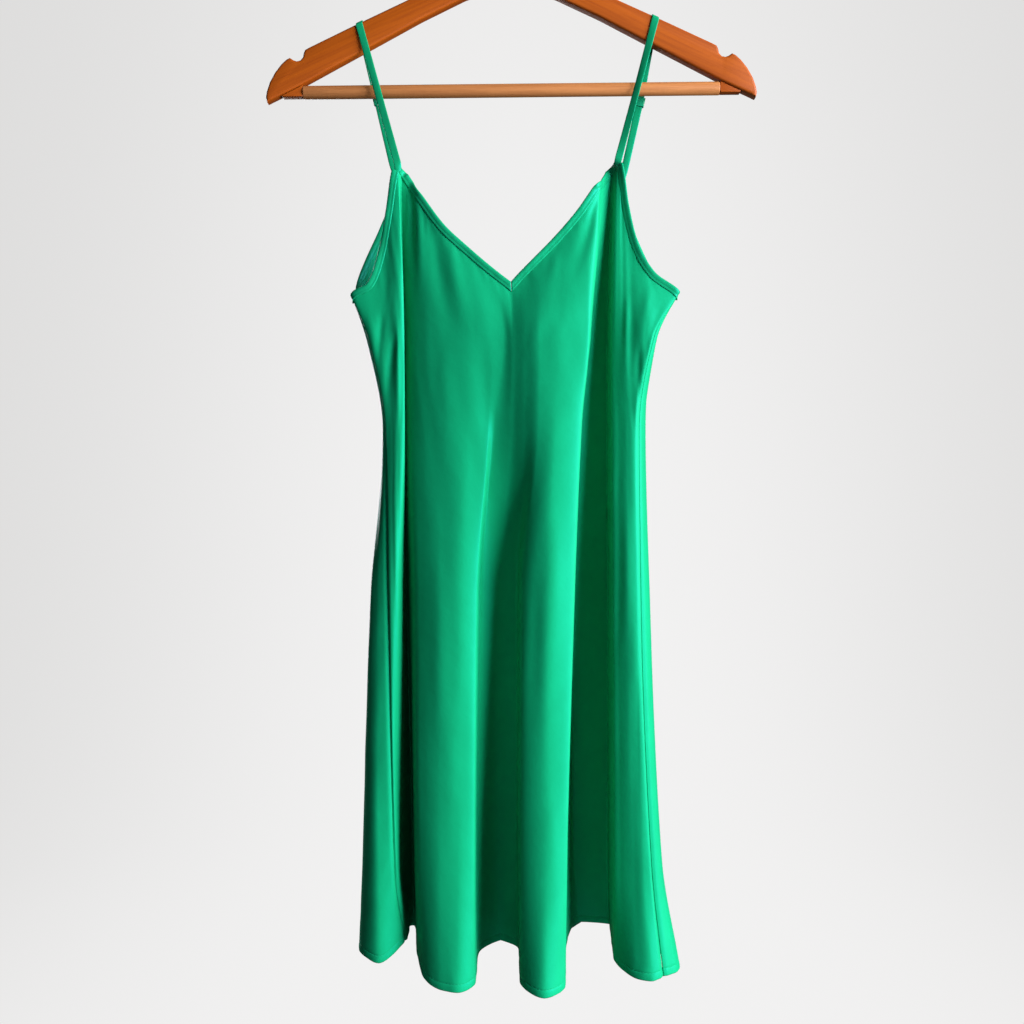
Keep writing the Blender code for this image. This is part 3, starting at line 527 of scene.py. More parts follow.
# The small creases, as soft ridges (lift above 0) and troughs: the ends' across and
# height, the width to where it has mostly died away, the lift, and the sideways bow
FRONT_CREASES = (
    # x from, z from, x to, z to, width, lift, bow
    (-90.4, -270, -90.0, -318, 2.3, 0.7, 0.0),
    (-86.4, -274, -86.0, -350, 3.0, -0.8, 0.4),
    (-82.0, -280, -79.6, -376, 4.2, 1.2, -1.0),
    (-76.6, -291, -75.4, -322, 1.5, -0.45, 0.3),
    (-72.3, -297, -69.8, -324, 1.3, -0.35, 0.2),
    (-69.0, -304, -46.5, -420, 7.0, -1.5, 2.5),
    (-54.0, -316, -34.0, -412, 6.5, 1.0, 2.0),
    (80.0, -276, 52.5, -366, 5.4, -2.0, -2.0),
    (83.5, -284, 69.0, -392, 5.4, 1.2, -1.5),
    (44.0, -330, 33.0, -380, 5.0, 0.6, 0.0),
    (105.2, -372, 103.0, -470, 3.6, 1.4, 0.5),
    (114.6, -418, 113.4, -470, 3.0, -1.4, 0.0),
    (125.5, -362, 113.0, -420, 5.0, 0.9, -1.0),
    (135.0, -378, 116.5, -436, 3.6, -0.9, -1.0),
    (-113.5, -386, -119.0, -446, 3.4, -1.5, 0.6),
    (-101.5, -404, -111.0, -480, 3.6, -1.4, 1.0),
    (-126.5, -384, -119.5, -436, 3.4, 0.8, 0.0),
    (-108.0, -356, -104.0, -420, 4.5, 0.9, 0.0),
    (-60.0, -420, -47.0, -575, 9.0, 0.9, 1.5),
    (-24.0, -400, -14.0, -560, 8.0, -0.8, 1.0),
    (40.0, -560, 30.0, -730, 9.0, 1.3, -2.0),
    (24.0, -620, 20.0, -790, 6.0, -0.7, 0.0),
    (-62.0, -600, -57.0, -820, 9.0, 0.8, 0.0),
    (-38.0, -690, -44.0, -900, 7.0, -0.6, 1.0),
    (104.5, -560, 108.0, -760, 6.0, 0.9, 0.0),
    (112.0, -700, 116.0, -900, 6.0, -0.8, 0.0),
    (36.0, -800, 42.0, -955, 6.5, 0.7, 0.0),
)
BACK_CREASES = (
    (97.0, -292, 99.0, -372, 3.0, 1.1, 0.0),
    (90.5, -300, 91.5, -392, 3.2, -1.4, -0.6),
    (82.0, -304, 79.0, -420, 4.6, 1.2, 1.0),
    (72.0, -312, 55.0, -430, 6.4, -2.2, -2.0),
    (60.0, -322, 44.0, -440, 5.6, 1.0, -1.5),
    (-92.0, -292, -93.0, -350, 2.6, 0.8, 0.0),
    (-85.0, -300, -84.0, -388, 3.2, -1.3, 0.5),
    (-74.0, -308, -58.0, -436, 6.0, -2.0, 2.0),
    (-66.0, -318, -50.0, -402, 5.4, 1.1, 1.5),
    (-20.0, -352, -14.0, -470, 7.0, -1.0, 1.0),
    (22.0, -352, 16.0, -500, 7.5, 0.9, -1.0),
    (118.0, -372, 112.0, -452, 4.0, -1.2, 0.0),
    (126.0, -380, 119.0, -462, 4.0, 0.9, 0.0),
    (-118.0, -376, -110.0, -460, 4.0, -1.3, 0.0),
    (-108.0, -372, -104.0, -470, 4.6, 1.0, 0.0),
    (60.0, -520, 56.0, -760, 9.0, 1.0, 1.5),
    (-8.0, -560, -14.0, -800, 9.0, -0.9, -1.0),
    (-66.0, -600, -72.0, -840, 8.0, 1.0, 0.0),
    (104.0, -640, 112.0, -860, 7.0, -0.8, 0.0),
    (-100.0, -560, -108.0, -760, 7.0, 0.9, 0.0),
    (12.0, -760, 8.0, -930, 6.0, 0.7, 0.0),
)


def crease_lift(across, height, creases):
    """How far the creases raise the cloth at each point, in millimetres."""
    lift = np.zeros_like(across)
    for x_from, z_from, x_to, z_to, width, rise, bow in creases:
        run, fall = x_to - x_from, z_to - z_from
        length = math.hypot(run, fall)
        part = ((across - x_from) * run + (height - z_from) * fall) / length ** 2
        aside = ((across - x_from) * fall - (height - z_from) * run) / length
        inside = np.clip(part, 0.0, 1.0)
        aside = aside - bow * np.sin(math.pi * inside)
        fade = np.sin(math.pi * inside ** 0.72) ** 1.3
        lift += rise * fade * np.exp(-(aside / (width * (0.75 + 0.5 * inside))) ** 2)
    return lift


def soft_waves(along, height):
    """Faint uneven lengthways waves that hanging satin always has."""
    wander = 3.0 * np.sin(height / 61.0) + 2.0 * np.sin(height / 23.0 + 1.3)
    narrow = 0.10 * np.sin((along + wander) / 4.1) * (0.5 + 0.5 * np.sin(height / 47.0 + along / 31.0))
    wide = 0.12 * np.sin((along - wander) / 7.3 + 2.1) * (0.5 + 0.5 * np.sin(height / 83.0 - along / 19.0))
    return narrow + wide


def edge_puckers(along, depth_below, reach, size):
    """Small uneven puckers beside a row of sewing."""
    tuck = np.sin(along / 1.9) + 0.8 * np.sin(along / 3.1 + 1.0) + 0.6 * np.sin(along / 5.3 + 2.4)
    return size * tuck * np.exp(-(depth_below / reach) ** 2)


def unit(vectors):
    """The vectors of an array, made 1 long."""
    return vectors / np.linalg.norm(vectors, axis=-1, keepdims=True)


def run_so_far(points, axis=0):
    """Length from the first point of a line, or of each line of a grid, to each one."""
    lengths = np.cumsum(np.linalg.norm(np.diff(points, axis=axis), axis=-1), axis=axis)
    return np.concatenate([np.zeros_like(np.take(lengths, [0], axis=axis)), lengths], axis=axis)


class Cloth:
    """One panel's middle surface: rows of points and normals, in millimetres."""

    def __init__(self, first, last, creases):
        self.places = places_along(first, last, COLUMN_WIDTH)
        self.drops = drops_down(PANEL_LENGTH)
        points = np.array([[ring(drop).at(place) for place in self.places] for drop in self.drops])
        along = run_so_far(points, axis=1)
        for column, neighbour in ((0, 1), (-1, -2)):
            points[:, column] += unit(points[:, neighbour] - points[:, column]) * SEAM_HALF_GAP
        downward = np.gradient(points, axis=0)
        sideways = np.gradient(points, axis=1)
        normal = unit(np.cross(downward, sideways))
        for column, place in ((0, first), (-1, last)):
            # both panels turn in at a seam the same way, square to the run of the two
            across = np.array([ring(drop).at((place + 0.12) % COUNT) - ring(drop).at((place - 0.12) % COUNT)
                               for drop in self.drops])
            shared = unit(np.cross(downward[:, column], across))
            away = np.abs(along - along[:, column][:, None])
            weight = np.exp(-(away / SEAM_REACH) ** 2)[:, :, None]
            normal = unit(normal * (1.0 - weight) + shared[:, None, :] * weight)
        self.normal = normal
        below = run_so_far(points)
        above_hem = below[-1][None, :] - below
        from_seam = np.minimum(along, along[:, -1:] - along)
        lift = crease_lift(points[:, :, 0], points[:, :, 2], creases)
        lift += soft_waves(along, points[:, :, 2])
        lift *= np.clip(below / EDGE_CALM, 0.0, 1.0) * np.clip(from_seam / SEAM_CALM, 0.0, 1.0)
        lift *= np.clip((above_hem - EDGE_CALM) / HEM_FADE, 0.0, 1.0)
        lift += edge_puckers(along, below, reach=9.0, size=0.10) * np.clip(below / 3.0, 0.0, 1.0)
        lift += edge_puckers(along, above_hem, reach=16.0, size=0.09) * np.clip(from_seam / 8.0, 0.0, 1.0)
        # the stitches' groove, and the turned edge below it a little fuller
        lift -= 0.30 * np.exp(-((above_hem - HEM_STITCH_AT) / 0.55) ** 2)
        lift += 0.16 * np.exp(-((above_hem - 2.6) / 2.0) ** 2)
        lift -= SEAM_SINK * np.exp(-(from_seam / SEAM_REACH) ** 2)
        self.points = points + normal * lift[:, :, None]
        self.below = below

    def inside_turn(self):
        """The rows of the hem, bent round its lower edge and up the inside."""
        edge, normal = self.points[-1], self.normal[-1]
        upward = unit(self.points[-5] - edge)
        rows = [edge - normal * 0.5 * HEM_LAYER - upward * 0.35]
        for up in (0.2, 0.9, 2.0, 3.6, 5.2, 6.3, HEM_TURN):
            rows.append(edge - normal * HEM_LAYER + upward * up)
        return rows


def cloth_strip(name, rows, thickness, finish, stands_for, offset=0.0, closed=False):
    """A thin shell through rows of points in millimetres, with its own UV map in metres."""
    rows = np.asarray(rows)
    down, across = len(rows) - 1, len(rows[0]) - 1
    form = bmesh.new()
    bmesh.ops.create_grid(form, x_segments=across, y_segments=down, size=1.0)
    layer = form.loops.layers.uv.new("cut")
    uv = np.stack([run_so_far(rows, axis=1), -run_so_far(rows)], axis=2)
    spot = {}
    for corner in form.verts:
        column, row = round((0.5 + 0.5 * corner.co.x) * across), round((0.5 - 0.5 * corner.co.y) * down)
        spot[corner.index] = (row, column)
        corner.co = Vector(rows[row][column]) * MM
    for face in form.faces:
        for loop in face.loops:
            row, column = spot[loop.vert.index]
            loop[layer].uv = (uv[row][column][0] * MM, uv[row][column][1] * MM)
    if closed:
        bmesh.ops.remove_doubles(form, verts=form.verts, dist=0.002 * MM)
    made = piece(name, form, finish, stands_for)
    wall = made.modifiers.new("cloth", "SOLIDIFY")
    wall.thickness = thickness * MM
    wall.offset = offset
    return made


def satin_weave():
    """Group: the fine long floats of the satin and its faint shading, both uneven."""
    tree, inward, outward = new_group(
        "satin_weave",
        [("Vector", "Vector", None), ("Thread", "Float", 0.00035)],
        [("Shade", "Float"), ("Relief", "Float")])
    turned = add_node(tree, "Mapping", {"Rotation": (0.0, 0.0, math.radians(45)),
                                        "Vector": inward.outputs["Vector"]})
    per_metre = add_node(tree, "Math", {0: 1.0, 1: inward.outputs["Thread"]}, "DIVIDE").outputs[0]
    along = add_node(tree, "Math", {0: per_metre, 1: 0.11}, "MULTIPLY").outputs[0]
    sizes = add_node(tree, "CombineXYZ", {"X": per_metre, "Y": along})
    grown = add_node(tree, "VectorMath", {0: turned.outputs[0], 1: sizes.outputs[0]}, "MULTIPLY")
    floats = add_node(tree, "TexNoise", {"Scale": 1.0, "Detail": 2.0, "Vector": grown.outputs[0]})
    patches = add_node(tree, "TexNoise", {"Scale": 34.0, "Detail": 3.0, "Vector": inward.outputs["Vector"]})
    blend = add_node(tree, "Math", {0: floats.outputs["Fac"], 1: 0.45, 2: patches.outputs["Fac"]},
                     "MULTIPLY_ADD")
    shade = add_node(tree, "MapRange", {"From Min": 0.45, "From Max": 1.0, "Value": blend.outputs[0]})
    tree.links.new(shade.outputs["Result"], outward.inputs["Shade"])
    tree.links.new(floats.outputs["Fac"], outward.inputs["Relief"])
    return tree


SATIN_WEAVE = satin_weave()


def satin(name, light, shade, thread, roughness, relief):
    """Material: green satin, its gloss tinted by the dyed yarn."""
    made, tree, shader, places = new_material(name)
    cut = tree.nodes.new("ShaderNodeUVMap")
    cut.uv_map = "cut"
    weave = tree.nodes.new("ShaderNodeGroup")
    weave.node_tree = SATIN_WEAVE
    weave.inputs["Thread"].default_value = thread
    tree.links.new(cut.outputs["UV"], weave.inputs["Vector"])
    two_tones(tree, weave.outputs["Shade"], shade, light, shader.inputs["Base Color"])
    crush = add_node(tree, "TexNoise", {"Scale": 150.0, "Detail": 2.0, "Vector": places})
    soft = add_node(tree, "Bump", {"Strength": relief, "Distance": 0.0006, "Height": crush.outputs["Fac"]})
    threads = add_node(tree, "Bump", {"Strength": relief, "Distance": 0.00004,
                                      "Height": weave.outputs["Relief"], "Normal": soft.outputs["Normal"]})
    tree.links.new(threads.outputs["Normal"], shader.inputs["Normal"])
    shader.inputs["Metallic"].default_value = 0.04
    shader.inputs["Roughness"].default_value = roughness
    shader.inputs["Specular IOR Level"].default_value = 0.28
    shader.inputs["Specular Tint"].default_value = (0.0, 0.35, 1.0, 1.0)
    shader.inputs["Sheen Weight"].default_value = 0.06
    shader.inputs["Sheen Roughness"].default_value = 0.35
    shader.inputs["Sheen Tint"].default_value = (0.004, 1.0, 0.62, 1.0)
    return made


SATIN = satin("green_satin_cloth", SATIN_GREEN, SATIN_SHADE, thread=0.00035, roughness=0.52, relief=0.25)


def panel(name, cloth, node):
    """One panel with its hem turned up inside."""
    rows = list(cloth.points) + cloth.inside_turn()
    return cloth_strip(name, rows, CLOTH, SATIN, [node])


FRONT = Cloth(SEAM_L, SEAM_R, FRONT_CREASES)
BACK = Cloth(SEAM_R, COUNT, BACK_CREASES)
front_cloth = panel("front_cloth", FRONT, "front_panel")
back_cloth = panel("back_cloth", BACK, "back_panel")

# ------------------------------------------------------------------ stitches of the hem
# One row of fine green thread through both layers of the turned hem, 6 mm above its
# edge, a stitch every 3 mm. Each stitch is a short rounded thread lying in its dimple.
THREAD_GREEN = (0.010, 0.42, 0.21)


def thread_finish():
    """Material: twisted polyester thread, its green varied at random and lighter in spots as a painted
    highlight on its turns.
    """
    made, tree, shader, places = new_material("sewing_thread")
    # partly random tone, partly painted highlight: noise mixes in a lighter green that stands for light on
    # the thread's turns
    twist_tone_and_highlight = add_node(tree, "TexNoise", {"Scale": 2500.0, "Vector": places})
    two_tones(tree, twist_tone_and_highlight.outputs["Fac"], [0.7 * part for part in THREAD_GREEN], THREAD_GREEN,
              shader.inputs["Base Color"])
    shader.inputs["Roughness"].default_value = 0.5
    shader.inputs["Specular IOR Level"].default_value = 0.15
    return made


THREAD = thread_finish()


def point_at(marks, line, at):
    """Point at a length along a line, an array whose points have the marks as lengths."""
    return np.array([np.interp(at, marks, line[:, axis]) for axis in range(3)])


def stitches_along(line, step=3.0, length=2.3, radius=0.17):
    """Where the stitches lie along a line of points on the cloth, in millimetres."""
    line = np.asarray(line)
    marks = run_so_far(line)
    places = []
    for k in range(int(marks[-1] / step)):
        ends = [Vector(point_at(marks, line, k * step + at)) for at in (0.35, 0.35 + length)]
        turn = (ends[1] - ends[0]).to_track_quat("Z", "Y").to_matrix().to_4x4()
        places.append(Matrix.Translation((ends[0] + ends[1]) * 0.5 * MM) @ turn
                      @ Matrix.Diagonal((radius * MM, radius * MM, 0.5 * length * MM, 1.0)))
    return places


def thread_piece(name, places):
    """One joined mesh: the same small rounded stitch at every place."""
    form = bmesh.new()
    bmesh.ops.create_uvsphere(form, u_segments=6, v_segments=4, radius=1.0)
    form.verts.index_update()
    corners = np.array([[*corner.co, 1.0] for corner in form.verts])
    faces = [[corner.index for corner in face.verts] for face in form.faces]
    form.free()
    mesh = bpy.data.meshes.new(name)
    points = np.concatenate([(corners @ np.array(place).T)[:, :3] for place in places])
    mesh.from_pydata(points.tolist(), [], [[index + len(corners) * k for index in face]
                                           for k in range(len(places)) for face in faces])
    joined = bmesh.new()
    joined.from_mesh(mesh)
    bpy.data.meshes.remove(mesh)
    return piece(name, joined, THREAD)


def hem_line(cloth):
    """The two lines of the hem's stitching, on the outside and on the inside turn."""
    from_edge = (cloth.below[-1] - cloth.below)[:, len(cloth.places) // 2]
    row = int(np.argmin(np.abs(from_edge - HEM_STITCH_AT)))
    outside = cloth.points[row] + cloth.normal[row] * (0.5 * CLOTH + 0.02)
    inside = cloth.points[row] - cloth.normal[row] * (HEM_LAYER + 0.5 * CLOTH - 0.2)
    return outside[2:-2], inside[2:-2]


hem_places = [place for cloth in (FRONT, BACK) for line in hem_line(cloth) for place in stitches_along(line)]
hem_thread = thread_piece("hem_thread", hem_places)

# ------------------------------------------------------------------ side seams
# The panels' raw edges are joined right sides together and pressed to the back: a
# two-layer allowance 10 mm wide that hangs inside each side, from armhole to hem.
ALLOWANCE = 10.0
ALLOWANCE_CLOTH = 0.8  # both layers pressed together
ROWS_ABOVE, ROWS_BELOW = 4, 14        # of the panel, that the allowance leaves bare


def seam_allowance(name, cloth, at_start):
    """A strip close inside the back panel, from its seam edge inwards."""
    depth = [1.3, 1.4, 1.5, 1.5, 1.6, 1.6, 1.6]
    rows = []
    for j in range(ROWS_ABOVE, len(cloth.drops) - ROWS_BELOW):
        line = cloth.points[j] if at_start else cloth.points[j][::-1]
        inward = -(cloth.normal[j] if at_start else cloth.normal[j][::-1])
        marks = run_so_far(line)
        row = []
        for k, deep in enumerate(depth):
            at = ALLOWANCE * k / (len(depth) - 1)
            wave = 0.25 * math.sin(0.11 * j + 0.6 * k) * k / 6
            row.append(point_at(marks, line, at) + point_at(marks, inward, at) * (deep + wave))
        rows.append(row if at_start else row[::-1])
    made = cloth_strip(name, rows, ALLOWANCE_CLOTH, SATIN, [])


seam_allowance("seam_allowance_right", BACK, at_start=True)
seam_allowance("seam_allowance_left", BACK, at_start=False)

# ------------------------------------------------------------------ bindings
# Bias strips of the same satin, 15 mm wide, folded over the panels' top edges and edge
# stitched. The neck strips are mitred at the points of the V, and the armhole strips
# meet over the side seams.
SEED_STEP = 37.0       # from one strip's puckers to the next one's
BINDING_WIDTH = 5.2
BINDING_GAP = 0.6
BINDING_LAYER = 0.42
NECK_TRIM = 0.15
UNDERARM_TRIM = 0.2
# the bindings' two greens are the panels' satin darkened, a painted shade on the same cloth
BINDING_GREEN_SHADED = (0.0052, 0.285, 0.130)
BINDING_DARKER_SHADED = (0.0046, 0.255, 0.114)
# round one side of the strip: out from the panel's edge, and off its middle surface
BINDING_SECTION = ((-0.75, 0.46), (0.3, 0.50), (1.2, 0.52), (1.75, 0.48), (2.1, 0.58), (2.6, 0.70),
                   (3.5, 0.78), (4.4, 0.75), (5.1, 0.61), (5.6, 0.36), (5.8, 0.0))
STITCH_LINE = 3        # of the section, where the edge stitching lies in its groove

BINDING_SHADED_SATIN = satin("green_binding_cloth_shaded", BINDING_GREEN_SHADED, BINDING_DARKER_SHADED,
                thread=0.00035, roughness=0.40, relief=0.45)


class Edge:
    """A stretch of the panels' top edge, followed by its length in millimetres."""

    def __init__(self, first, last):
        points = [ring(0.0).at(place) for place in places_along(first, last, 2.4)]
        self.lengths = [0.0]
        for before, after in zip(points, points[1:]):
            self.lengths.append(self.lengths[-1] + (after - before).length)
        self.points = np.array(points)
        self.total = self.lengths[-1]

    def at(self, length):
        """Point at a length along the edge, or the nearer end."""
        return Vector(point_at(self.lengths, self.points, length))

    def outward(self, length):
        """Unit vector in the cloth, square to the edge and away from the panel."""
        near, far = 1.0, 2.5
        along = (self.at(length + near) - self.at(length - near)).normalized()
        level = self.at(length + far) - self.at(length - far)
        normal = Vector((level.y, -level.x, 0.0)).normalized()
        return normal.cross(along).normalized()


def mitre(edge, at_start, mate, mate_at_start):
    """Direction in which two bindings meet at a corner, and its slant to this one's width."""
    own = edge.outward(0.0 if at_start else edge.total)
    other = mate.outward(0.0 if mate_at_start else mate.total)
    shared = (own + other).normalized()
    return shared, own.angle(shared)


def binding(name, node, edge, start_mate=None, end_mate=None, trim=NECK_TRIM, length_seed=0.0):
    """The folded strip over one stretch of edge; returns its two lines of stitching."""
    columns = len(edge.points) - 1
    start, start_slant = mitre(edge, True, start_mate, False) if start_mate else (edge.outward(0.0), 0.0)
    end, end_slant = mitre(edge, False, end_mate, True) if end_mate else (edge.outward(edge.total), 0.0)
    full = BINDING_GAP + BINDING_WIDTH
    section = list(BINDING_SECTION)
    section += [(out, -off) for out, off in reversed(BINDING_SECTION[:-1])]
    rows = []
    for out, off in section:
        share = out / full
        start_loss, end_loss = (out * math.tan(slant) for slant in (start_slant, end_slant))
        row = []
        for k in range(columns + 1):
            length = start_loss + (edge.total - start_loss - end_loss) * edge.lengths[k] / edge.total
            if k == 0:
                along = (edge.at(2.0) - edge.at(0.0)).normalized()
                flat = edge.at(0.0) + start * out / math.cos(start_slant) + along * trim
            elif k == columns:
                along = (edge.at(edge.total) - edge.at(edge.total - 2.0)).normalized()
                flat = edge.at(edge.total) + end * out / math.cos(end_slant) - along * trim
            else:
                along = (edge.at(length + 1.0) - edge.at(length - 1.0)).normalized()
                flat = edge.at(length) + edge.outward(length) * out
            away = along.cross(edge.outward(min(max(length, 0.0), edge.total))).normalized()
            at = edge.lengths[k] + length_seed
            pucker = 0.045 * (math.sin(at / 1.7) + 0.8 * math.sin(at / 2.9 + 1.0) + 0.7 * math.sin(at / 6.1))
            roll = 0.16 * math.sin(at / 9.0 + 0.7) + 0.10 * math.sin(at / 4.3)
            swell = pucker * (1.0 - share) + roll * share
            row.append(flat + away * (off + (swell if off > 0 else 0.5 * swell)))
        rows.append(row)
    made = cloth_strip(name, rows[::-1], BINDING_LAYER, BINDING_SHADED_SATIN, [node])
    return rows[STITCH_LINE], rows[-1 - STITCH_LINE]


front_neck_left, front_neck_right = Edge(STRAP_L, VEE_FRONT), Edge(VEE_FRONT, STRAP_R)
back_neck_right, back_neck_left = Edge(TIP_R, VEE_BACK), Edge(VEE_BACK, TIP_L)
front_arm_left, front_arm_right = Edge(SEAM_L, STRAP_L), Edge(STRAP_R, SEAM_R)
back_arm_right, back_arm_left = Edge(SEAM_R, TIP_R), Edge(TIP_L, COUNT)
# columns: panel and side, the strip's edge, what it meets at its start and at its end
NECK_STRIPS = (
    ("front_left", front_neck_left, None, front_neck_right),
    ("front_right", front_neck_right, front_neck_left, None),
    ("back_right", back_neck_right, None, back_neck_left),
    ("back_left", back_neck_left, back_neck_right, None),
)
ARMHOLE_STRIPS = (
    ("front_left", front_arm_left, back_arm_left, None),
    ("back_left", back_arm_left, None, front_arm_left),
    ("front_right", front_arm_right, None, back_arm_right),
    ("back_right", back_arm_right, front_arm_right, None),
)
edge_places = []
length_seed = 0.0
for strips, word, part, trim in ((NECK_STRIPS, "neck", "_neck_binding_", NECK_TRIM),
                                 (ARMHOLE_STRIPS, "arm", "_armhole_binding_", UNDERARM_TRIM)):
    for place, edge, start_mate, end_mate in strips:
        node = place.replace("_", part)
        for line in binding(word + "_strip_" + place, node, edge, start_mate, end_mate, trim, length_seed):
            edge_places += stitches_along(line[1:-1], step=2.7, length=2.1, radius=0.16)
        length_seed += SEED_STEP
thread_piece("edge_thread", edge_places)

# ------------------------------------------------------------------ shoulder straps
# Satin tubes turned and pressed flat, 6.6 mm wide. Each is sewn inside the front panel's
# point, goes over the arm, back through the slider and round the ring, and its end is
# sewn to the slider's bar. A short tab of the same tube holds the ring to the back.
# the straps' two greens are the panels' satin darkened, a painted shade on the same cloth
STRAP_GREEN_SHADED = (0.0046, 0.250, 0.112)
STRAP_DARKER_SHADED = (0.0040, 0.220, 0.096)
STRAP_HALF = 3.3
STRAP_THICK = 0.46     # half of it
STRAP_WALL = 0.2
STRAP_FOOT = 10.0
TAB_FOOT, TAB_TAIL = 7.0, 6.0
JOINT_LAP, JOINT_DEPTH = 3.4, 1.4     # how far down and how far inside an end is sewn
JOINT_REACH = BINDING_WIDTH - 0.4
RING_WIRE, RING_RADIUS = 0.6, 4.7
SLIDER_HEIGHT, SLIDER_BAR = 8.0, 1.2
SLIDER_SPARE = (1.0, 2.0)             # room round the strap, across and in depth
SLIDER_CORNER, SLIDER_RIM = 0.9, 0.3
# LAP lies between the middles of the two runs below the slider, which part at the
# KINK above the ring. GATHERED is half the width at the ring, and LOOP_BEND the
# radius of the bend round its wire.
LAP, GATHERED, LOOP_BEND, KINK = 1.6, 2.4, 2.1, 13.0
RUN_STEP, TAB_STEP = 3.0, 1.5      # between the rows of a strap and of a tab
STRAP_LIFT = 0.9       # of the strap's middle off the arm
ARM_TOP = ((46, -77.3), (88, -96.6), (144, -122.6), (186, -142.6))
BACKWARD = Vector((0.0, 1.0, 0.0))
TILT = Matrix.Rotation(HANGER_TILT, 4, "Y")

# side is +1 for the right. crossing is the distance from the middle at which the
# strap goes over the arm, turn is how far its front run twists, in degrees, and
# slider_at and ring_at are across, height and depth towards the front.
STRAPS = {
    "left": {"side": -1, "crossing": 137.3, "turn": -8,
             "slider_at": (-121.5, -185, -14.5), "ring_at": (-105, -256.5, -22)},
    "right": {"side": 1, "crossing": 131.4, "turn": -28,
              "slider_at": (120.6, -186.5, -14.5), "ring_at": (103.7, -262.5, -23)},
}

STRAP_SHADED_SATIN = satin("green_strap_cloth_shaded", STRAP_GREEN_SHADED, STRAP_DARKER_SHADED,
                    thread=0.00030, roughness=0.38, relief=0.35)


def arm_top(across):
    """Height of the arm's top edge at a distance from the middle, before the tilt."""
    return float(np.interp(abs(across), [x for x, z in ARM_TOP], [z for x, z in ARM_TOP]))


def cross_row(point, along, half):
    """A row square to a strip that runs along, its lower X end first."""
    across = Vector((-along.z, 0.0, along.x)).normalized() * half
    if across.x < 0:
        across.negate()
    return [point - across, point, point + across]


def stretch(points, halves, step):
    """Rows of a strip along a line through the points, with its half widths there."""
    knots = [0.0]
    for before, after in zip(points, points[1:]):
        knots.append(knots[-1] + (after - before).length)
    count = max(1, round(knots[-1] / step))
    values = [[point[axis] for point in points] for axis in range(3)]
    rows = []
    for k in range(count + 1):
        at = knots[-1] * k / count
        point, ahead, behind = (Vector([eased(knots, value, place) for value in values])
                                for place in (at, at + 1.0, at - 1.0))
        rows.append(cross_row(point, ahead - behind, eased(knots, halves, at)))
    return rows


def doubled_back(rows):
    """The run in front of these rows, from the ring back up to the slider."""
    made = []
    for k, row in enumerate(reversed(rows)):
        spread = max(0.0, 1.0 - k * RUN_STEP / KINK) * (2 * LOOP_BEND - LAP)
        made.append([point - BACKWARD * (LAP + spread) for point in row])
    return made


def twisted(rows, turn):
    """The rows turned about the strip's own line, most of all halfway along it."""
    axis = (rows[-1][1] - rows[0][1]).normalized()
    made = []
    for k, (left, middle, right) in enumerate(rows):
        angle = math.radians(turn) * math.sin(math.pi * k / (len(rows) - 1)) ** 0.6
        lean = Matrix.Rotation(angle, 3, axis)
        made.append([middle + lean @ (left - middle), middle, middle + lean @ (right - middle)])
    return made


def joint_row(edge_arm, arm_at, edge_neck, neck_at, inside):
    """Lower end of a strap or tab, sewn inside the ends of two bindings."""
    middle = edge_arm.at(arm_at) + inside * JOINT_DEPTH
    to_arm, to_neck = edge_arm.outward(arm_at), edge_neck.outward(neck_at)
    sunk = (to_arm + to_neck).normalized() * JOINT_LAP
    row = [middle + to_arm * JOINT_REACH - sunk, middle - sunk, middle + to_neck * JOINT_REACH - sunk]
    return row if row[0].x < row[2].x else row[::-1]


def half_turn(centre, up):
    """Rows of a gathered strip bent round the ring's wire, from back to front."""
    steps = 8
    rows = []
    for k in range(1, steps):
        angle = math.pi * k / steps
        point = centre + BACKWARD * LOOP_BEND * math.cos(angle) + up * LOOP_BEND * math.sin(angle)
        rows.append(cross_row(point, up, GATHERED))
    return rows


def over_the_arm(side, crossing):
    """Rows from the front of the arm, over it and down its back."""
    tilted = TILT @ Vector((side * crossing, 0.0, arm_top(crossing)))
    bend = ARM_ROUNDING + STRAP_LIFT
    flat = 0.5 * ARM_THICKNESS - ARM_ROUNDING
    (x_in, z_in), (x_out, z_out) = ARM_TOP[1:3]
    slope = Vector((x_out - x_in, 0.0, side * (z_out - z_in))).normalized() * STRAP_HALF
    corner_steps = 7
    rows = []
    for sense in (-1, 1):
        for k in range(corner_steps + 1):
            angle = 0.5 * math.pi * (k if sense < 0 else corner_steps - k) / corner_steps
            point = Vector((tilted.x, sense * (flat + bend * math.cos(angle)),
                            tilted.z + STRAP_LIFT - bend + bend * math.sin(angle)))
            rows.append([point - slope, point, point + slope])
    return rows


def pressed_tube(name, rows, node):
    """A flattened tube of satin through rows of three points, open at its ends."""
    around = 18
    middles = [row[1] for row in rows]
    shell, along_strap = [], 0.0
    for j, (left, middle, right) in enumerate(rows):
        along = middles[min(j + 1, len(rows) - 1)] - middles[max(j - 1, 0)]
        away = (right - left).cross(along).normalized()
        along_strap += (middle - middles[max(j - 1, 0)]).length
        thick = STRAP_THICK * (1.0 + 0.10 * math.sin(along_strap / 7.0) + 0.07 * math.sin(along_strap / 3.1))
        cup = 0.16 * math.sin(along_strap / 19.0) + 0.10 * math.sin(along_strap / 8.0 + 1.0)
        points = []
        for k in range(around + 1):
            angle = math.tau * k / around
            aside = math.copysign(abs(math.cos(angle)) ** 0.62, math.cos(angle))
            off = thick * math.copysign(abs(math.sin(angle)) ** 0.8, math.sin(angle))
            off += cup * (aside ** 2 - 0.4)
            flat = middle.lerp(right, aside) if aside > 0 else middle.lerp(left, -aside)
            points.append(flat + away * off)
        shell.append(points)
    made = cloth_strip(name, shell, STRAP_WALL, STRAP_SHADED_SATIN, [node], offset=-1.0, closed=True)


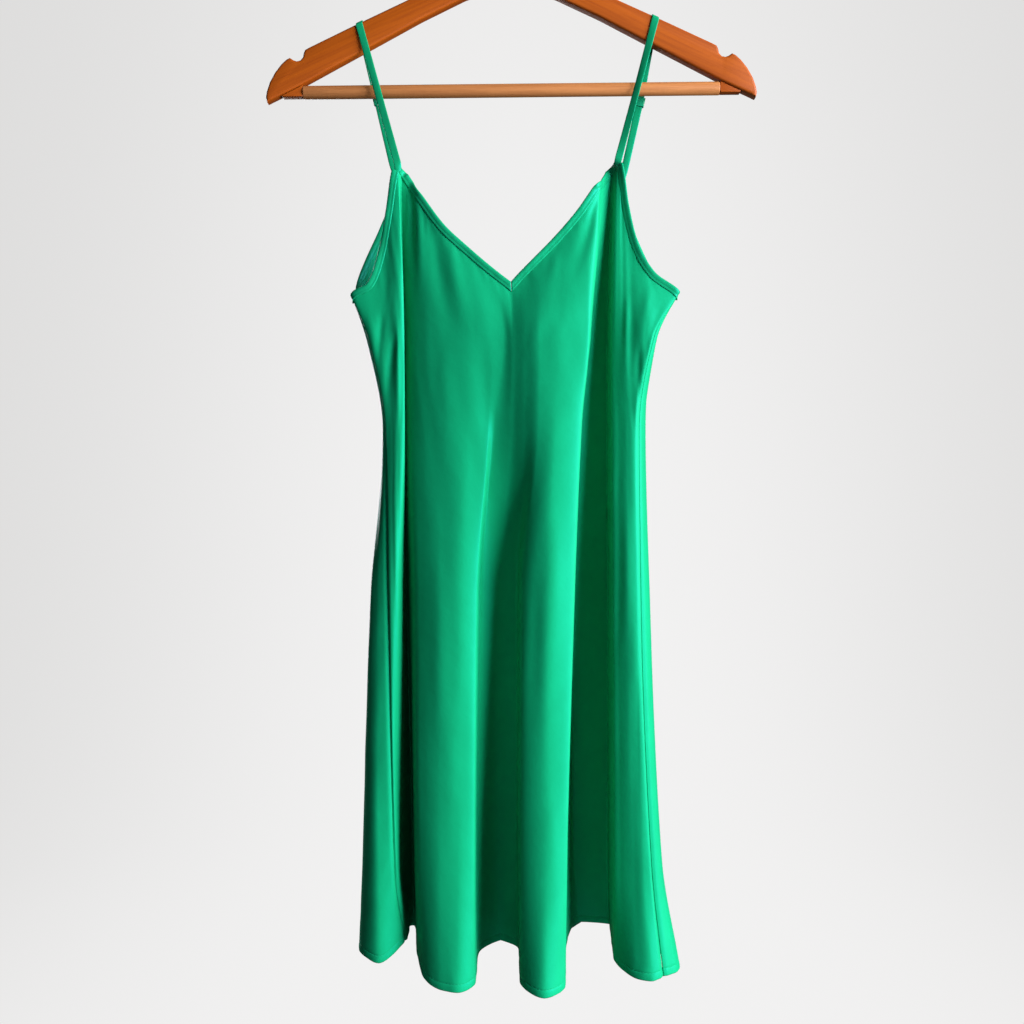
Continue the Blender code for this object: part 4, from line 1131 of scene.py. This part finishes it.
def wire_ring(name, centre, node):
    """Small round ring of plated wire, flat against the back."""
    form = bmesh.new()
    circle = bmesh.ops.create_circle(form, segments=12, radius=RING_WIRE * MM)["verts"]
    bmesh.ops.rotate(form, verts=circle, cent=(0, 0, 0), matrix=Matrix.Rotation(math.pi / 2, 3, "X"))
    bmesh.ops.translate(form, verts=circle, vec=(RING_RADIUS * MM, 0.0, 0.0))
    revolve(form, 40)
    bmesh.ops.rotate(form, verts=form.verts, cent=(0, 0, 0), matrix=Matrix.Rotation(math.pi / 2, 3, "X"))
    bmesh.ops.translate(form, verts=form.verts, vec=centre * MM)
    piece(name, form, RING_METAL, [node])


def slider_loop(name, centre, along, node):
    """The slider, a flat enamelled loop that both runs of strap pass through."""
    form = bmesh.new()
    turn = Matrix((along.cross(BACKWARD), BACKWARD, -along)).transposed().to_4x4()
    bmesh.ops.create_cone(form, cap_ends=False, segments=4, radius1=math.sqrt(0.5), radius2=math.sqrt(0.5),
                          depth=SLIDER_HEIGHT * MM, matrix=Matrix.Rotation(math.pi / 4, 4, "Z"))
    wide, deep = 2 * STRAP_HALF + SLIDER_SPARE[0] + SLIDER_BAR, LAP + SLIDER_SPARE[1] + SLIDER_BAR
    bmesh.ops.scale(form, verts=form.verts, vec=(wide * MM, deep * MM, 1.0))
    corners = [edge for edge in form.edges if abs(edge.verts[0].co.z - edge.verts[1].co.z) > MM]
    rounded(form, corners, SLIDER_CORNER, segments=4)
    bmesh.ops.solidify(form, geom=form.faces[:], thickness=SLIDER_BAR * MM)
    bmesh.ops.recalc_face_normals(form, faces=form.faces)
    rims = [edge for edge in form.edges
            if len(edge.link_faces) == 2 and edge.calc_face_angle(0.0) > math.radians(60)]
    rounded(form, rims, SLIDER_RIM, segments=2)
    bmesh.ops.transform(form, verts=form.verts, matrix=Matrix.Translation(centre * MM) @ turn)
    bmesh.ops.recalc_face_normals(form, faces=form.faces)
    piece(name, form, ENAMEL, [node], smooth_angle=50)


ENAMEL_GREEN = (0.008, 0.34, 0.18)
ENAMEL_SHADE = (0.005, 0.24, 0.12)


def enamel():
    """Material: green enamel baked on a small metal slider."""
    made, tree, shader, places = new_material("green_enamel_coat")
    flow = add_node(tree, "TexNoise", {"Scale": 420.0, "Vector": places}).outputs["Fac"]
    two_tones(tree, flow, ENAMEL_SHADE, ENAMEL_GREEN, shader.inputs["Base Color"])
    bump = add_node(tree, "Bump", {"Strength": 0.1, "Distance": 0.0002, "Height": flow})
    tree.links.new(bump.outputs["Normal"], shader.inputs["Normal"])
    shader.inputs["Roughness"].default_value = 0.3
    shader.inputs["Specular IOR Level"].default_value = 0.3
    return made


ENAMEL = enamel()
RING_METAL = plated("plated_ring_finish", roughness=0.2)


def shoulder_strap(word, side, crossing, turn, slider_at, ring_at):
    """One side's strap with its slider, its ring and the tab that holds the ring."""
    if side < 0:
        front_ends = (front_arm_left, front_arm_left.total, front_neck_left, 0.0)
        back_ends = (back_arm_left, 0.0, back_neck_left, back_neck_left.total)
    else:
        front_ends = (front_arm_right, 0.0, front_neck_right, front_neck_right.total)
        back_ends = (back_arm_right, back_arm_right.total, back_neck_right, 0.0)
    over = over_the_arm(side, crossing)
    joint = joint_row(*front_ends, BACKWARD)
    foot = joint[1] + (over[0][1] - joint[1]).normalized() * STRAP_FOOT
    blend = [[joint[i].lerp(cross_row(foot, over[0][1] - foot, STRAP_HALF)[i], part) for i in range(3)]
             for part in (0.25, 0.5, 0.75)]
    front = twisted(stretch([foot, over[0][1]], [STRAP_HALF, STRAP_HALF], RUN_STEP), turn)

    centre = Vector((ring_at[0], -ring_at[2], ring_at[1]))
    slider = Vector((slider_at[0], -slider_at[2], slider_at[1]))
    along = (centre - slider).normalized()
    up = Vector((-along.x, 0.0, -along.z)).normalized()
    wire_top = centre + up * RING_RADIUS
    kink = wire_top + (up - BACKWARD * along.y) * KINK
    behind = BACKWARD * 0.5 * LAP
    upper_run = stretch([over[-1][1], slider + behind], [STRAP_HALF, STRAP_HALF], RUN_STEP)
    lower_run = stretch([slider + behind, kink + behind, wire_top + BACKWARD * LOOP_BEND],
                        [STRAP_HALF, STRAP_HALF, GATHERED], RUN_STEP)
    rows = [joint] + blend + front[:-1] + over + upper_run[1:] + lower_run[1:]
    rows += half_turn(wire_top, -up) + doubled_back(lower_run)
    pressed_tube("shoulder_strap_" + word, rows, "strap_" + word)
    slider_loop("strap_slider_" + word, slider, along, "slider_" + word)
    wire_ring("wire_ring_" + word, centre, "strap_ring_" + word)

    base = joint_row(*back_ends, -BACKWARD)
    rise = (centre - base[1]).normalized()
    level = Vector((rise.x, 0.0, rise.z)).normalized()
    wire_low = centre - level * RING_RADIUS
    tab_up = stretch([base[1] + rise * TAB_FOOT, wire_low + BACKWARD * LOOP_BEND],
                     [0.8 * STRAP_HALF, GATHERED], TAB_STEP)
    tab_end = wire_low - BACKWARD * (LOOP_BEND - 0.4) - level * TAB_TAIL
    tab_down = stretch([wire_low - BACKWARD * LOOP_BEND, tab_end], [GATHERED, GATHERED], TAB_STEP)
    tab_rows = [base] + tab_up + half_turn(wire_low, level) + tab_down
    pressed_tube("cloth_tab_" + word, tab_rows, "ring_tab_" + word)


for word, sizes in STRAPS.items():
    shoulder_strap(word, **sizes)

# ------------------------------------------------------------------ studio
# A round pale room: floor, cove and wall in one. To the camera it glows grey, brighter
# behind the dress in a painted pool of light. The dress hangs from a rail height of 1.9 m.
ROOM_RADIUS = 5.0
FLOOR = -1.9
COVE = 1.2
WALL_TOP = 4.0
CAMERA_AT = (0.0025, -1.1, -0.565)
LENS = 42.41
# the room's glow for the camera: the edge tone, and the brighter painted pool of light behind the dress
ROOM_EDGE = (0.73, 0.725, 0.72)
ROOM_PAINTED_POOL = (0.885, 0.88, 0.878)
ROOM_GLOW = 0.05


def room_glow_finish():
    """Material: a glow seen by the camera as grey, with a painted pool of light in a soft upright oval
    behind the dress; other rays get a faint even glow.
    """
    made, tree, shader, places = new_material("studio_painted_glow")
    tree.nodes.remove(shader)
    # painted pool of light: the glow is brighter in a soft upright oval behind the dress
    parts = add_node(tree, "SeparateXYZ", {0: places})
    lower = add_node(tree, "Math", {0: parts.outputs["Z"], 1: 0.35}, "MULTIPLY")
    flat = add_node(tree, "CombineXYZ", {"X": parts.outputs["X"], "Z": lower.outputs[0]})
    reach = add_node(tree, "VectorMath", {0: flat.outputs[0], 1: (0.15, 0.0, -0.6)}, "DISTANCE")
    rise = add_node(tree, "MapRange", {"From Min": 0.5, "From Max": 3.0, "Value": reach.outputs["Value"]})
    rise.interpolation_type = "SMOOTHSTEP"
    painted_glow = tree.nodes.new("ShaderNodeEmission")
    two_tones(tree, rise.outputs["Result"], ROOM_PAINTED_POOL, ROOM_EDGE, painted_glow.inputs["Color"])
    glow = add_node(tree, "Emission", {"Color": (1.0, 1.0, 1.0, 1.0), "Strength": ROOM_GLOW})
    ray = tree.nodes.new("ShaderNodeLightPath")
    mix = add_node(tree, "MixShader", {"Fac": ray.outputs["Is Camera Ray"], 1: glow.outputs[0],
                                       2: painted_glow.outputs[0]})
    tree.links.new(mix.outputs[0], tree.nodes["Material Output"].inputs["Surface"])
    return made


room_form = bmesh.new()
floor_line = [(0.0, FLOOR), (ROOM_RADIUS - COVE, FLOOR)]
floor_line += [(ROOM_RADIUS - COVE + COVE * math.sin(turn), FLOOR + COVE - COVE * math.cos(turn))
               for turn in (math.radians(9 * k) for k in range(1, 11))]
floor_line += [(ROOM_RADIUS, WALL_TOP), (0.0, WALL_TOP + 1.5)]
revolve(room_form, 64, floor_line)
bmesh.ops.reverse_faces(room_form, faces=room_form.faces)
room_mesh = bpy.data.meshes.new("studio_room")
room_form.to_mesh(room_mesh)
room_form.free()
room_mesh.shade_smooth()
room_mesh.materials.append(room_glow_finish())
placed("studio_room", room_mesh)


def soft_box(name, place, aim, width, height, power):
    """A rectangular soft light, unseen by the camera."""
    light = bpy.data.lights.new(name, "AREA")
    light.shape = "RECTANGLE"
    light.size = width
    light.size_y = height
    light.energy = power
    made = placed(name, light)
    made.location = place
    made.rotation_euler = (Vector(aim) - Vector(place)).to_track_quat("-Z", "Y").to_euler()
    made.visible_camera = False


# columns: name, place, aim, width, height, power in watts
for light in (
    ("key_light", (2.1, -1.2, 0.0), (0.0, 0.0, -0.62), 1.9, 2.0, 238.0),
    ("fill_light", (-1.6, -2.6, 0.1), (0.0, 0.0, -0.6), 1.2, 1.6, 3.5),
    ("floor_bounce", (0.15, -0.55, -1.75), (0.0, 0.0, -0.9), 1.2, 0.9, 2.6),
    ("back_light", (-1.4, 2.6, 0.1), (0.0, 0.0, -0.6), 1.6, 2.2, 75.0),
):
    soft_box(*light)

world = bpy.data.worlds.new("studio_air")
world.use_nodes = True
world.node_tree.nodes["Background"].inputs["Color"].default_value = (*ROOM_EDGE, 1.0)
world.node_tree.nodes["Background"].inputs["Strength"].default_value = ROOM_GLOW
bpy.context.scene.world = world

camera_data = bpy.data.cameras.new("camera")
camera_data.lens = LENS
camera = placed("camera", camera_data)
camera.location = CAMERA_AT
camera.rotation_euler = (math.pi / 2, 0.0, 0.0)
bpy.context.scene.camera = camera
bpy.context.scene.view_settings.view_transform = "Standard"
